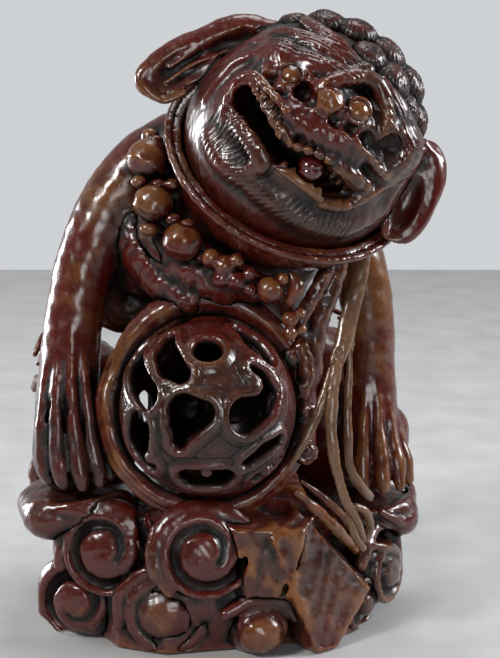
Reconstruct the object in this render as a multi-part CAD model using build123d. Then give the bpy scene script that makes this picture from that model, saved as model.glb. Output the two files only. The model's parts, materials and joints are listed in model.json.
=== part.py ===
from build123d import *
import math
import os

# Carved wooden foo dog statue. Millimetres.
# The origin is the centre of the flat underside, +Z is up and the ball side faces -Y.
# Right and left are the animal's own sides, so its right is at -X.

# Main sizes
BASE_RADIUS = 38.0
BASE_HEIGHT = 27.0
LEDGE_THICKNESS = 11.0
HEAD_RADIUS = 27.5
EYE_RADIUS = 3.9
MOUTH_HALF = 13.5
MOUTH_HEIGHT = 9.0
TOOTH_RADIUS = 1.5
TEETH_ARC = 24.6
CURL_RADIUS = 7.0
MANE_ARC = 25.6
CUP_GAP = 0.5
CUP_WALL = 2.6
COLLAR_RADIUS = 29.8
COLLAR_THICKNESS = 1.9
COLLAR_SETBACK = 8.0
MANE_EDGE = 5.2
EAR_EDGE = 2.5
PEG_RADIUS = 4.0
PEG_LENGTH = 20.0
PEG_CLEARANCE = 0.05
PEG_IN_HEAD = 12.0
BALL_RADIUS = 21.8
BALL_WALL = 3.2
HOLE_RADIUS = 5.4
HOLES_PER_ROW = 6
INNER_BALL_RADIUS = 6.5
CRADLE_RADIUS = 22.6
CRADLE_THICKNESS = 3.0
STRAP_RADIUS = 2.2
LOOSE_GAP = 0.35
PEARL_RADIUS = 3.0
RIBBON_RADIUS = 1.15

# Main places
HEAD_CENTRE = Vector(17.4, -14.7, 119.5)
NECK_AXIS = Vector(0.212, -0.626, 0.750).normalized()
BALL_CENTRE = Vector(-6.6, -21.0, 57.8)
CRADLE_AXIS = Vector(-0.237, -0.949, 0.208).normalized()

# The head looks forward and leans over towards the animal's left shoulder
FACE_RIGHT = Vector(0.76, -0.26, -0.60).normalized()
CROWN = Vector(0.64, 0.08, 0.77)
head_frame = Plane(origin=HEAD_CENTRE, x_dir=FACE_RIGHT, z_dir=CROWN - FACE_RIGHT * CROWN.dot(FACE_RIGHT))
neck_frame = Plane(origin=HEAD_CENTRE, z_dir=NECK_AXIS)

os.makedirs("parts", exist_ok=True)
parts = {}


def together(shapes):
    """One solid from several that overlap."""
    whole = shapes[0]
    for shape in shapes[1:]:
        whole = whole + shape
    return whole


def capsule(start, end, radius):
    """Round bar with domed ends between two points."""
    start, end = Vector(*start), Vector(*end)
    middle = Plane(origin=(start + end) / 2, z_dir=end - start)
    bar = middle * Cylinder(radius, (end - start).length)
    return bar + Pos(*start) * Sphere(radius) + Pos(*end) * Sphere(radius)


def limb(stations):
    """Limb of round bars through (centre, radius) stations."""
    bars = []
    for (start, start_radius), (end, end_radius) in zip(stations, stations[1:]):
        bars.append(capsule(start, end, (start_radius + end_radius) / 2))
    return together(bars)


def strip(points, radius):
    """Thin round strand along a smooth line."""
    path = Spline(*points)
    section = Plane(origin=path @ 0, z_dir=path % 0) * Circle(radius)
    return sweep(section, path=path)


def on_head(shape):
    """A shape built square to the face, set on the tilted head."""
    return head_frame.location * shape


def near(a, b):
    """Whether two boxes share any space."""
    return (a.min.X < b.max.X and a.max.X > b.min.X and a.min.Y < b.max.Y
            and a.max.Y > b.min.Y and a.min.Z < b.max.Z and a.max.Z > b.min.Z)


def scroll(centre, radius, depth, facing):
    """Cloud scroll: a rounded drum with a ring groove around a domed boss."""
    face = Plane(origin=centre, z_dir=facing)
    drum = Cylinder(radius, depth)
    rim = drum.edges().filter_by(GeomType.CIRCLE).sort_by(Axis.Z)[-1]
    drum = fillet(rim, min(2.6, 0.3 * radius))
    drum = drum - Pos(0, 0, depth / 2) * Torus(0.55 * radius, 1.1)
    return face * (drum + Pos(0, 0, depth / 2 - 0.2 * radius) * Sphere(0.4 * radius))


# Head ------------------------------------------------------------------
skull = Rot(0, 0, 40) * Sphere(HEAD_RADIUS)
snout = capsule((-3.0, -26.0, 6.0), (6.0, -26.0, 8.0), 7.6)
brow = capsule((-10.0, -19.5, 14.5), (11.0, -19.5, 15.5), 7.4)
upper_lip_right = capsule((-18.0, -18.0, 0.5), (-5.0, -24.5, 3.5), 4.2)
upper_lip_left = capsule((5.0, -24.5, 3.8), (19.0, -17.5, 3.5), 4.2)
chin = capsule((-7.0, -19.5, -12.5), (9.0, -19.5, -12.5), 7.8)
mouth_back = capsule((-MOUTH_HALF, -20.0, -4.5), (MOUTH_HALF, -20.0, -4.5), MOUTH_HEIGHT / 2)
mouth = mouth_back + Pos(0, -28.0, -4.5) * Box(2 * MOUTH_HALF + 4.0, 16.0, MOUTH_HEIGHT)

eye_places = {"eye_right": (-9.6, -24.6, 9.8), "eye_left": (10.4, -24.9, 10.6)}
pearl_place = (5.0, -24.8, -7.2)

ear_right_shape = together([
    capsule((-24.5, 0.0, 14.0), (-34.0, -1.0, 3.0), 3.4),
    capsule((-34.0, -1.0, 3.0), (-36.2, -2.0, -8.6), 3.4),
    capsule((-28.0, -0.5, 4.0), (-31.6, -1.5, -8.4), 3.2),
])
ear_left_shape = together([
    capsule((24.5, 0.0, 15.5), (31.6, -0.5, 6.0), 3.4),
    capsule((31.6, -0.5, 6.0), (32.4, -1.0, -2.5), 3.2),
    capsule((28.0, -0.5, 6.0), (29.2, -1.0, -2.0), 3.0),
])

curls = []
for row_back, first, last, count in ((0.0, -38, 36, 6), (10.5, -62, 62, 7), (19.5, -70, 70, 6)):
    row_radius = math.sqrt(MANE_ARC ** 2 - row_back ** 2)
    for i in range(count):
        angle = math.radians(first + (last - first) * i / (count - 1))
        place = (row_radius * math.sin(angle), row_back, row_radius * math.cos(angle))
        curls.append(Pos(*place) * Sphere(CURL_RADIUS))
mane_shape = together(curls)

teeth = []
for i in range(11):
    angle = math.radians(-44 + 8.8 * i)
    place = (TEETH_ARC * math.sin(angle), -TEETH_ARC * math.cos(angle), -1.1)
    teeth.append(Pos(*place) * Cone(TOOTH_RADIUS * 0.5, TOOTH_RADIUS, 3.2))
gum = Pos(0, 0, -0.9) * (Torus(TEETH_ARC, 1.2) & Pos(0, -TEETH_ARC, 0) * Box(35.0, 17.0, 6.0))
teeth_shape = together([gum] + teeth)
fang_shape = together([
    Pos(5.5, -25.2, -9.9) * Cone(1.6, 0.8, 3.2),
    Pos(9.0, -24.2, -9.8) * Cone(1.6, 0.8, 3.2),
    Pos(12.2, -22.8, -9.6) * Cone(1.6, 0.8, 3.0),
    capsule((6.0, -23.8, -9.6), (12.0, -22.2, -9.4), 1.3),
])

face = together([skull, snout, brow, upper_lip_right, upper_lip_left, chin])
head_shape = face
for place in eye_places.values():
    head_shape = head_shape - Pos(*place) * (Rot(20, 0, 70) * Sphere(EYE_RADIUS))
head_shape = head_shape - mouth
pearl_room = Pos(*pearl_place) * Sphere(PEARL_RADIUS + LOOSE_GAP)
head_shape = head_shape - pearl_room

bore = neck_frame * (Pos(0, 0, -HEAD_RADIUS) * Cylinder(PEG_RADIUS + PEG_CLEARANCE, 2 * PEG_IN_HEAD))
head = on_head(head_shape) - bore
mane = on_head(mane_shape - face - ear_right_shape - ear_left_shape)
behind_mane = neck_frame * (Pos(0, 0, MANE_EDGE - COLLAR_SETBACK - 30.0) * Cylinder(60.0, 60.0))
behind_ear = neck_frame * (Pos(0, 0, EAR_EDGE - COLLAR_SETBACK - 30.0) * Cylinder(60.0, 60.0))
mane = mane - behind_mane

parts["head"] = head
parts["mane"] = mane
parts["ear_right"] = on_head(ear_right_shape - skull)
parts["ear_left"] = on_head(ear_left_shape - skull) - behind_ear
for name, place in eye_places.items():
    parts[name] = on_head(Pos(*place) * Sphere(EYE_RADIUS))
upper_row = (teeth_shape & mouth).solids().sort_by(SortBy.VOLUME)[-1]
parts["teeth_upper"] = on_head(upper_row)
parts["teeth_lower"] = on_head((fang_shape & mouth) - pearl_room)
parts["mouth_pearl"] = on_head(Pos(*pearl_place) * Sphere(PEARL_RADIUS))

# Neck ------------------------------------------------------------------
peg_start = -HEAD_RADIUS + PEG_IN_HEAD - 1.0 - PEG_LENGTH / 2
parts["neck_peg"] = neck_frame * (Pos(0, 0, peg_start) * Cylinder(PEG_RADIUS, PEG_LENGTH))
collar = neck_frame * (Pos(0, 0, -COLLAR_SETBACK) * Torus(COLLAR_RADIUS, COLLAR_THICKNESS))
head_room = Pos(*HEAD_CENTRE) * Sphere(HEAD_RADIUS + CUP_GAP)
cup_ball = Pos(*HEAD_CENTRE) * Sphere(HEAD_RADIUS + CUP_GAP + CUP_WALL)
above_collar = neck_frame * (Pos(0, 0, -COLLAR_SETBACK + 30.0) * Cylinder(60.0, 60.0))

# Limbs and trunk ---------------------------------------------------------
trunk = together([
    capsule((-5.0, 15.0, 38.0), (-4.0, 14.0, 74.0), 12.5),
    capsule((17.0, 15.0, 38.0), (16.0, 14.0, 74.0), 12.5),
    capsule((6.0, 17.0, 34.0), (6.0, 14.0, 80.0), 15.5),
    capsule((-6.0, 7.0, 93.0), (17.0, 6.0, 91.0), 15.5),
    capsule((-10.0, 4.0, 104.0), (22.0, 2.0, 99.0), 10.5),
])
foreleg_right = limb([
    ((-13.5, 3.6, 112.0), 6.4),
    ((-26.4, 1.6, 100.0), 7.0),
    ((-34.6, -1.6, 79.0), 7.2),
    ((-36.8, -3.6, 58.0), 7.8),
    ((-37.4, -5.2, 43.8), 9.2),
])
foreleg_left = limb([
    ((32.0, 2.0, 99.0), 7.2),
    ((37.4, 0.0, 80.0), 6.4),
    ((38.5, -1.2, 56.0), 6.6),
    ((39.2, -3.2, 37.2), 8.8),
])
haunch_right = capsule((-27.5, 19.0, 36.0), (-27.0, 24.0, 54.0), 13.2)
haunch_left = capsule((34.0, 18.0, 36.0), (33.0, 23.0, 54.0), 13.2)
tail = limb([
    ((7.0, 31.0, 42.0), 6.0),
    ((9.5, 33.5, 60.0), 9.0),
    ((7.0, 30.0, 84.0), 9.6),
    ((4.0, 25.0, 101.0), 4.4),
])

# Base --------------------------------------------------------------------
plinth = Pos(0, 3, BASE_HEIGHT / 2) * (Rot(0, 0, 97) * Cylinder(BASE_RADIUS, BASE_HEIGHT))
crag = Pos(15.0, -17.0, 17.0) * (Rot(-8, 10, 24) * Box(23.0, 20.0, 30.0))
ledge_slab = Cylinder(14.5, LEDGE_THICKNESS)
ledge_slab = fillet(ledge_slab.edges().filter_by(GeomType.CIRCLE), 3.4)
ledge_right = Pos(-34.5, 1.0, 31.0) * ledge_slab
ledge_left = Pos(36.5, 1.0, 25.5) * ledge_slab
scrolls = {
    "scroll_side_upper": scroll((-25.0, -9.0, 24.0), 8.5, 17.0, (-0.3, -1.0, 0.25)),
    "scroll_side_lower": scroll((-31.0, -1.0, 10.0), 8.6, 17.0, (-0.7, -1.0, 0.0)),
    "scroll_front_upper": scroll((-10.0, -22.0, 25.0), 9.0, 17.0, (0.0, -1.0, 0.2)),
    "scroll_front_lower": scroll((-15.0, -17.5, 9.3), 9.0, 17.0, (-0.25, -1.0, 0.0)),
    "scroll_front_foot": scroll((3.5, -26.0, 6.0), 5.8, 16.0, (0.0, -1.0, 0.0)),
    "scroll_corner": scroll((20.0, -22.0, 8.0), 7.8, 18.0, (0.3, -1.0, 0.0)),
    "scroll_side_left": scroll((34.0, -7.0, 12.0), 8.8, 17.0, (0.8, -1.0, 0.0)),
}

# Ball ----------------------------------------------------------------------
ball_room = Pos(*BALL_CENTRE) * Sphere(BALL_RADIUS + 0.02)
ball = Sphere(BALL_RADIUS) - Sphere(BALL_RADIUS - BALL_WALL)
hole = Pos(BALL_RADIUS, 0, 0) * (Rot(0, 90, 0) * Cylinder(HOLE_RADIUS, 14.0))
for tilt, turn in ((-48, 30), (-4, 24), (43, 30)):
    for i in range(HOLES_PER_ROW):
        ball = ball - Rot(0, 0, turn + 360 * i / HOLES_PER_ROW) * (Rot(0, -tilt, 0) * hole)
ball_frame = Plane(origin=BALL_CENTRE, x_dir=(0.970, -0.242, 0.0), z_dir=(0.050, 0.202, 0.978))
inner_drop = BALL_RADIUS - BALL_WALL - INNER_BALL_RADIUS - LOOSE_GAP
parts["brocade_ball"] = ball_frame.location * ball
parts["inner_ball"] = Pos(*(BALL_CENTRE - Vector(0, 0, inner_drop))) * Sphere(INNER_BALL_RADIUS)
cradle_plane = Plane(origin=BALL_CENTRE - CRADLE_AXIS * 5.0, z_dir=CRADLE_AXIS)
cradle = cradle_plane * Torus(CRADLE_RADIUS, CRADLE_THICKNESS)
cradle_back = capsule((-4.0, -1.5, 50.0), (-3.0, -1.5, 66.0), 13.5)

# Harness -------------------------------------------------------------------
bells = {
    "bell_1": ((-17.8, -7.4, 115.8), 4.6),
    "bell_2": ((-17.6, -12.6, 105.7), 4.6),
    "bell_3": ((-11.9, -18.0, 97.4), 4.8),
    "bell_4": ((-2.5, -22.6, 91.8), 3.4),
    "bell_5": ((10.5, -24.6, 84.6), 3.4),
}
strap_route = [(-16, -2, 117), (-16, -8, 106), (-10.5, -13.5, 98), (-1.5, -16, 91), (10, -17, 84)]
strap = strip(strap_route, STRAP_RADIUS)
pendant = capsule((18.0, -20.5, 73.0), (18.0, -20.0, 77.5), 3.3)
chest_scroll = together([
    capsule((-9.0, -9.0, 88.0), (9.0, -9.0, 87.0), 6.2),
    capsule((16.0, -9.0, 82.0), (17.0, -8.0, 70.0), 5.6),
    capsule((19.5, -9.0, 60.0), (20.5, -8.0, 48.0), 5.0),
])

# Ribbon --------------------------------------------------------------------
FORK = (23.5, -25.6, 66.5)
ribbon_outer = strip([(33.0, -12.5, 95.0), (29.5, -20.0, 81.0), FORK], RIBBON_RADIUS + 0.2)
ribbon_right = strip([FORK, (17.5, -31.0, 56.5), (12.6, -33.6, 46.5), (10.0, -32.0, 37.0)], RIBBON_RADIUS)
ribbon_middle = strip([FORK, (21.6, -31.6, 50.0), (26.0, -32.5, 35.0), (30.0, -29.0, 22.0)], RIBBON_RADIUS)
left_route = [(28.5, -21.6, 78.0), (28.0, -25.0, 60.0), (26.5, -25.5, 45.0), (23.0, -21.0, 33.0)]
ribbon_left = strip(left_route, RIBBON_RADIUS)
ribbon_knot = Plane(origin=(26.0, -27.6, 27.0), z_dir=(0.2, -1.0, 0.1)) * Torus(3.6, RIBBON_RADIUS)

# Fitting the fixed pieces together: each one is trimmed by those listed before it
fixed = {
    "neck_peg": parts.pop("neck_peg"),
    "brocade_ball": parts.pop("brocade_ball"),
    "foreleg_right": foreleg_right,
    "foreleg_left": foreleg_left,
    "neck_collar": collar,
    **{name: Pos(*centre) * Sphere(radius) for name, (centre, radius) in bells.items()},
    "ribbon_outer": ribbon_outer,
    "ribbon_right": ribbon_right,
    "ribbon_middle": ribbon_middle,
    "ribbon_left": ribbon_left,
    "ribbon_knot": ribbon_knot,
    "harness_strap": strap,
    "harness_pendant": pendant,
    "ball_cradle": cradle + cradle_back,
    "torso": trunk + cup_ball - above_collar,
    "chest_scroll": chest_scroll,
    "haunch_right": haunch_right,
    "haunch_left": haunch_left,
    "tail": tail,
    "paw_ledge_right": ledge_right,
    "paw_ledge_left": ledge_left,
    **scrolls,
    "rock_base": plinth + (crag & Pos(0, 0, 50) * Box(200.0, 200.0, 100.0)),
}

ball_box = ball_room.bounding_box()
head_box = head_room.bounding_box()
cutters = {}
for name, whole in fixed.items():
    shape = whole
    own = whole.bounding_box()
    for cutter, box in cutters.values():
        if near(own, box):
            shape = shape - cutter
    if name not in ("neck_peg", "brocade_ball") and near(own, head_box):
        shape = shape - head_room
    if name != "brocade_ball" and near(own, ball_box):
        shape = shape - ball_room
    solids = sorted(shape.solids(), key=lambda solid: solid.volume, reverse=True)
    parts[name] = solids[0]
    if name != "brocade_ball":
        cutters[name] = (whole, own)
    print(name, len(solids), round(solids[0].volume), flush=True)

for name, shape in parts.items():
    export_step(shape, f"parts/{name}.step")
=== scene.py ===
import json
import math
import bpy
import numpy as np
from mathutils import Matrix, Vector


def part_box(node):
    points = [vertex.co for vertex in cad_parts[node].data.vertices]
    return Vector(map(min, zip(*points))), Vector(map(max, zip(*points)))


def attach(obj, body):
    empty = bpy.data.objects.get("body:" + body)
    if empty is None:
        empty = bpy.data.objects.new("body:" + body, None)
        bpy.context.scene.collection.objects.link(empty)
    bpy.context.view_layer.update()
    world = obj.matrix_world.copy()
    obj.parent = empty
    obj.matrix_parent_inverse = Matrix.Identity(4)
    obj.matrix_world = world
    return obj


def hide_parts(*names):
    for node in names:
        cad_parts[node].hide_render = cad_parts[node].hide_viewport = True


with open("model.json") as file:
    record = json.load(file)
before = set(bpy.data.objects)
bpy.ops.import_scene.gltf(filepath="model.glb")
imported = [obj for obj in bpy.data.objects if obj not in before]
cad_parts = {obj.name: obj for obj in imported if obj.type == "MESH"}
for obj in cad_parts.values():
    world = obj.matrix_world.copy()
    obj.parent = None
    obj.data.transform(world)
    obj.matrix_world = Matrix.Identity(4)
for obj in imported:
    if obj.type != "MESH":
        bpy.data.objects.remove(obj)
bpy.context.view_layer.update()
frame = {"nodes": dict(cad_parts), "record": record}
import openvdb as vdb
from mathutils import Matrix, Vector

# Carved foo dog statue. Shapes are carved as distance fields in millimetres, one block of "wood" per
# region, then each block is divided into the pieces of the CAD model and skinned.

# grid steps in millimetres: FINE for the head and the balls, COARSE for the body and the base
FINE = 0.425
COARSE = 0.58
# distance given to places that no solid reaches
FAR = 9.0
# how far round a place to look for edges (wear) and hollows (painted shade), and how strongly each reach
# counts
NEAR_REACH, NEAR_WEIGHT = 0.9, 1.3
WIDE_REACH, WIDE_WEIGHT = 2.6, 1.25
# the most wear that an edge can gather, and the most that relief may move the surface
WEAR_LIMIT = 0.44
RELIEF_LIMIT = 1.2
# a node with fewer points of skin than this is taken as hidden inside its neighbours
FEWEST_POINTS = 30

RECORD = frame["record"]
BODY_OF = {node: body for body, nodes in RECORD["behaviour"]["bodies"].items() for node in nodes}
NECK_JOINT = next(joint for joint in RECORD["behaviour"]["joints"] if joint["name"] == "head_turn")
SLOT_OF = {entry["node"]: entry["material_slot"] for entry in RECORD["subparts"]}


def middle(node):
    """Centre of a node's CAD box, in millimetres."""
    low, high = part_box(node)
    return (np.array(low) + np.array(high)) * 500.0


# ---------------------------------------------------------------- carving kit

def unit(vector):
    vector = np.asarray(vector, float)
    return vector / np.linalg.norm(vector)


def smooth_line(points, spans=5):
    """Catmull-Rom curve through rows of numbers (x, y, z, radius)."""
    rows = np.asarray(points, float)
    if len(rows) < 3 or spans < 2:
        return rows
    padded = np.vstack([2 * rows[0] - rows[1], rows, 2 * rows[-1] - rows[-2]])
    out = []
    for i in range(1, len(padded) - 2):
        p0, p1, p2, p3 = padded[i - 1:i + 3]
        for t in np.linspace(0, 1, spans, endpoint=False):
            out.append(0.5 * (2 * p1 + (p2 - p0) * t + (2 * p0 - 5 * p1 + 4 * p2 - p3) * t * t
                              + (3 * p1 - p0 - 3 * p2 + p3) * t ** 3))
    out.append(rows[-1])
    out = np.array(out)
    out[:, 3] = np.maximum(out[:, 3], 0.25)
    return out


def melt(a, b, blend):
    """Join two solids with a fillet."""
    if blend <= 0:
        return np.minimum(a, b)
    h = np.maximum(blend - np.abs(a - b), 0.0) / blend
    return np.minimum(a, b) - h * h * (blend * 0.25)


def carve(a, b, blend):
    """Take b out of a."""
    if blend <= 0:
        return np.maximum(a, -b)
    h = np.maximum(blend - np.abs(a + b), 0.0) / blend
    return np.maximum(a, -b) + h * h * (blend * 0.25)


class Block:
    """A block of wood: a distance field on a grid, with the node that owns each place."""

    def __init__(self, low, high, step, place=None):
        self.low = np.array(low, float)
        self.step = step
        self.size = np.ceil((np.array(high, float) - self.low) / step).astype(int) + 1
        self.field = np.full(self.size, FAR, np.float32)
        self.first = np.full(self.size, FAR, np.float32)
        self.second = np.full(self.size, FAR, np.float32)
        self.owner = np.full(self.size, -1, np.int8)
        self.nodes = []
        self.place = place if place is not None else np.eye(4)
        self.relief = []
        self.shade = []

    def window(self, low, high):
        """The part of the grid between two corners, and its coordinates."""
        start = np.clip(np.floor((np.asarray(low) - self.low) / self.step).astype(int), 0, self.size)
        stop = np.clip(np.ceil((np.asarray(high) - self.low) / self.step).astype(int) + 1, 0, self.size)
        view = tuple(slice(start[i], stop[i]) for i in range(3))
        return view, self.places(view)

    def places(self, view):
        """Grid coordinates over a window, ready to spread over its three directions."""
        axes = [self.low[i] + self.step * np.arange(view[i].start, view[i].stop) for i in range(3)]
        x, y, z = [axis.astype(np.float32) for axis in axes]
        return x[:, None, None], y[None, :, None], z[None, None, :]

    def put(self, node, view, solid, blend):
        """Add a solid, given as distances over a window, to a node."""
        if solid.size == 0:
            return
        if node not in self.nodes:
            self.nodes.append(node)
        index = self.nodes.index(node)
        self.field[view] = melt(self.field[view], solid, blend)
        own, first, second = self.owner[view], self.first[view], self.second[view]
        mine = own == index
        nearer = solid < first
        second[...] = np.where(mine, second, np.where(nearer, first, np.minimum(second, solid)))
        own[...] = np.where(nearer, index, own)
        first[...] = np.minimum(first, solid)

    def line(self, points, pad=2.5, spans=5, flat=None):
        """Distances to a tapering bar along a smooth line. flat=(direction, share) thins it that way."""
        rows = smooth_line(points, spans)
        reach = rows[:, 3].max() + pad
        low, high = rows[:, :3].min(0) - reach, rows[:, :3].max(0) + reach
        view = self.window(low, high)[0]
        origin = np.array([s.start for s in view])
        solid = np.full([s.stop - s.start for s in view], FAR, np.float32)
        if solid.size == 0:
            return view, solid
        for a, b in zip(rows[:-1], rows[1:]):
            near = max(a[3], b[3]) + pad
            part, (x, y, z) = self.window(np.minimum(a[:3], b[:3]) - near, np.maximum(a[:3], b[:3]) + near)
            local = tuple(slice(part[i].start - origin[i], part[i].stop - origin[i]) for i in range(3))
            if min(s.stop - s.start for s in local) <= 0:
                continue
            run = b[:3] - a[:3]
            length2 = float(run @ run) + 1e-9
            dx, dy, dz = x - np.float32(a[0]), y - np.float32(a[1]), z - np.float32(a[2])
            along = np.clip((dx * run[0] + dy * run[1] + dz * run[2]) / length2, 0, 1).astype(np.float32)
            qx, qy, qz = dx - along * run[0], dy - along * run[1], dz - along * run[2]
            squared = qx * qx + qy * qy + qz * qz
            if flat is not None:
                way, share = flat
                proud = qx * way[0] + qy * way[1] + qz * way[2]
                squared = squared + proud * proud * (1.0 / share ** 2 - 1.0)
            distance = np.sqrt(squared) - (a[3] + (b[3] - a[3]) * along)
            if flat is not None:
                distance = distance * (0.5 + 0.5 * flat[1])
            solid[local] = np.minimum(solid[local], distance)
        return view, solid

    def bar(self, node, points, blend=1.0, spans=5, flat=None):
        """Add a tapering bar to a node."""
        view, solid = self.line(points, 2.0 + blend, spans, flat)
        self.put(node, view, solid, blend)

    def bars(self, node, lines, blend):
        for points in lines:
            self.bar(node, points, blend)

    def groove(self, points, blend=0.8, spans=5):
        """Cut a tapering groove."""
        view, solid = self.line(points, 1.0 + blend, spans)
        self.field[view] = carve(self.field[view], solid, blend)

    def oval(self, centre, radii, turn=None, pad=2.5):
        """Distances to an ellipsoid whose axes are the columns of turn."""
        centre, radii = np.asarray(centre, float), np.asarray(radii, float)
        turn = np.eye(3) if turn is None else turn
        reach = np.abs(turn) @ radii + pad
        view, (x, y, z) = self.window(centre - reach, centre + reach)
        x, y, z = x - np.float32(centre[0]), y - np.float32(centre[1]), z - np.float32(centre[2])
        k0, k1 = 0.0, 0.0
        for i in range(3):
            p = x * turn[0, i] + y * turn[1, i] + z * turn[2, i]
            k0 = k0 + (p / radii[i]) ** 2
            k1 = k1 + (p / radii[i] ** 2) ** 2
        k0, k1 = np.sqrt(k0), np.sqrt(k1) + 1e-6
        solid = np.where(k0 < 0.35, -(1.0 - k0) * radii.min(), k0 * (k0 - 1.0) / k1)
        return view, solid.astype(np.float32)

    def lump(self, node, centre, radii, blend=1.0, turn=None):
        """Add a ball or an ellipsoid to a node."""
        if np.isscalar(radii):
            radii = (radii, radii, radii)
        view, solid = self.oval(centre, radii, turn, 2.0 + blend)
        self.put(node, view, solid, blend)

    def lumps(self, node, rows, blend):
        for x, y, z, radius in rows:
            self.lump(node, (x, y, z), radius, blend)

    def scoop(self, centre, radii, blend=0.8, turn=None):
        """Cut a round or oval hollow."""
        if np.isscalar(radii):
            radii = (radii, radii, radii)
        view, solid = self.oval(centre, radii, turn, 1.0 + blend)
        self.field[view] = carve(self.field[view], solid, blend)

    def spiral(self, node, centre, across, up, radius, turns, thick, blend=0.5, start=0.0, dome=0.0,
               end_thick=None):
        """A raised scroll line that winds in to its centre, on a dome."""
        across, up = unit(across), unit(up)
        out = np.cross(across, up)
        rows = []
        count = max(8, int(turns * 14))
        end_thick = thick * 0.55 if end_thick is None else end_thick
        for i in range(count + 1):
            t = i / count
            r = radius * (1 - t) ** 0.85
            angle = start + turns * math.tau * t
            place = (np.asarray(centre, float) + across * (r * math.cos(angle)) + up * (r * math.sin(angle))
                     + out * (dome * (1 - (r / radius) ** 2)))
            rows.append((*place, thick + (end_thick - thick) * t))
        self.bar(node, rows, blend, spans=1)

    def planes(self, node, faces, blend=0.6, rounding=0.4):
        """A faceted stone: (point, outward) planes around a box given by the first two rows."""
        low, high = np.asarray(faces[0], float), np.asarray(faces[1], float)
        view, (x, y, z) = self.window(low - 2.5, high + 2.5)
        solid = np.maximum(np.maximum(low[0] - x, x - high[0]), np.maximum(low[1] - y, y - high[1]))
        solid = np.maximum(solid, np.maximum(low[2] - z, z - high[2]))
        for point, outward in faces[2:]:
            n = unit(outward)
            side = (x - point[0]) * n[0] + (y - point[1]) * n[1] + (z - point[2]) * n[2]
            solid = np.maximum(solid, side)
        self.put(node, view, (solid - rounding).astype(np.float32), blend)

    def sample(self, array, index):
        """Values of a grid at fractional places."""
        index = np.clip(index, 0, np.array(array.shape) - 1.001)
        i = index.astype(np.int32)
        f = (index - i).astype(np.float32)
        out = np.zeros(len(index), np.float32)
        for cx in (0, 1):
            wx = f[:, 0] if cx else 1 - f[:, 0]
            for cy in (0, 1):
                wy = f[:, 1] if cy else 1 - f[:, 1]
                for cz in (0, 1):
                    wz = f[:, 2] if cz else 1 - f[:, 2]
                    out += wx * wy * wz * array[i[:, 0] + cx, i[:, 1] + cy, i[:, 2] + cz]
        return out

    def blurred(self, reach):
        """The field averaged over cubes of 2*reach, for finding hollows and edges."""
        n = max(1, int(round(reach / self.step)))
        out = np.clip(self.field, -2.0 * reach, 2.0 * reach)
        for axis in range(3):
            pad = [(0, 0)] * 3
            pad[axis] = (n + 1, n)
            total = np.cumsum(np.pad(out, pad, mode="edge"), axis=axis, dtype=np.float32)
            upper = np.take(total, range(2 * n + 1, total.shape[axis]), axis=axis)
            lower = np.take(total, range(0, total.shape[axis] - 2 * n - 1), axis=axis)
            out = (upper - lower) / (2 * n + 1)
        return out

    def cut_out(self, index):
        """The surface of one node's share of the block, and the grid place that it starts from."""
        mine = self.owner == index
        spots = np.argwhere(mine & (self.field < 1.0))
        if len(spots) == 0:
            return np.empty((0, 3)), None, None
        start = np.maximum(spots.min(0) - 3, 0)
        stop = np.minimum(spots.max(0) + 4, self.size)
        view = tuple(slice(start[i], stop[i]) for i in range(3))
        gap = (self.second[view] - self.first[view]) * 0.5
        body = np.maximum(self.field[view], np.where(mine[view], -gap, gap))
        for axis in range(3):
            edge = [slice(None)] * 3
            for side in (0, -1):
                edge[axis] = side
                body[tuple(edge)] = np.maximum(body[tuple(edge)], self.step)
        points, faces = polygons(body, self.step)
        return points, faces, start

    def skin(self):
        """Pieces of this block, one for each node that owns some of it: points, faces, and wear and painted
        shade.
        """
        near, wide = self.blurred(NEAR_REACH), self.blurred(WIDE_REACH)
        pieces = {}
        for index, node in enumerate(self.nodes):
            points, faces, start = self.cut_out(index)
            if len(points) < FEWEST_POINTS:
                continue
            places = points + start
            spots = self.low + places * self.step
            slopes = [self.sample(self.field, places + shift) - self.sample(self.field, places - shift)
                      for shift in np.eye(3)]
            normal = np.stack(slopes, 1)
            normal /= np.maximum(np.linalg.norm(normal, axis=1, keepdims=True), 1e-6)
            # edges raise this value and take wear; hollows and carved grooves lower it, and the finishes
            # paint them near black as painted shade
            proud = (self.sample(near, places) / NEAR_REACH * NEAR_WEIGHT
                     + self.sample(wide, places) / WIDE_REACH * WIDE_WEIGHT)
            outside = self.sample(self.field, places) > -0.6 * self.step
            push = np.zeros(len(points))
            for effect in self.relief:
                push += effect(spots, node)
            push = np.clip(push, -RELIEF_LIMIT, RELIEF_LIMIT) * outside
            wear_and_shade = np.minimum(proud, WEAR_LIMIT * np.tanh(proud / WEAR_LIMIT)) + push * 1.1
            for effect in self.shade:
                wear_and_shade = wear_and_shade + effect(spots, node)
            spots = spots + normal * push[:, None]
            pieces[node] = (spots @ self.place[:3, :3].T + self.place[:3, 3], faces, wear_and_shade)
        return pieces


def polygons(body, step):
    """The zero surface of a grid of distances, as points and four-cornered faces."""
    band = np.clip(body, -3 * step, 3 * step).astype(np.float32)
    grid = vdb.FloatGrid(float(3 * step))
    grid.copyFromArray(np.ascontiguousarray(band))
    points, triangles, quads = grid.convertToPolygons(isovalue=0.0, adaptivity=0.0)
    faces = [np.asarray(quads, np.int64)]
    if len(triangles):
        triangles = np.asarray(triangles, np.int64)
        faces.append(np.column_stack([triangles, triangles[:, 2]]))
    return np.asarray(points, float), np.vstack(faces)


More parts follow.
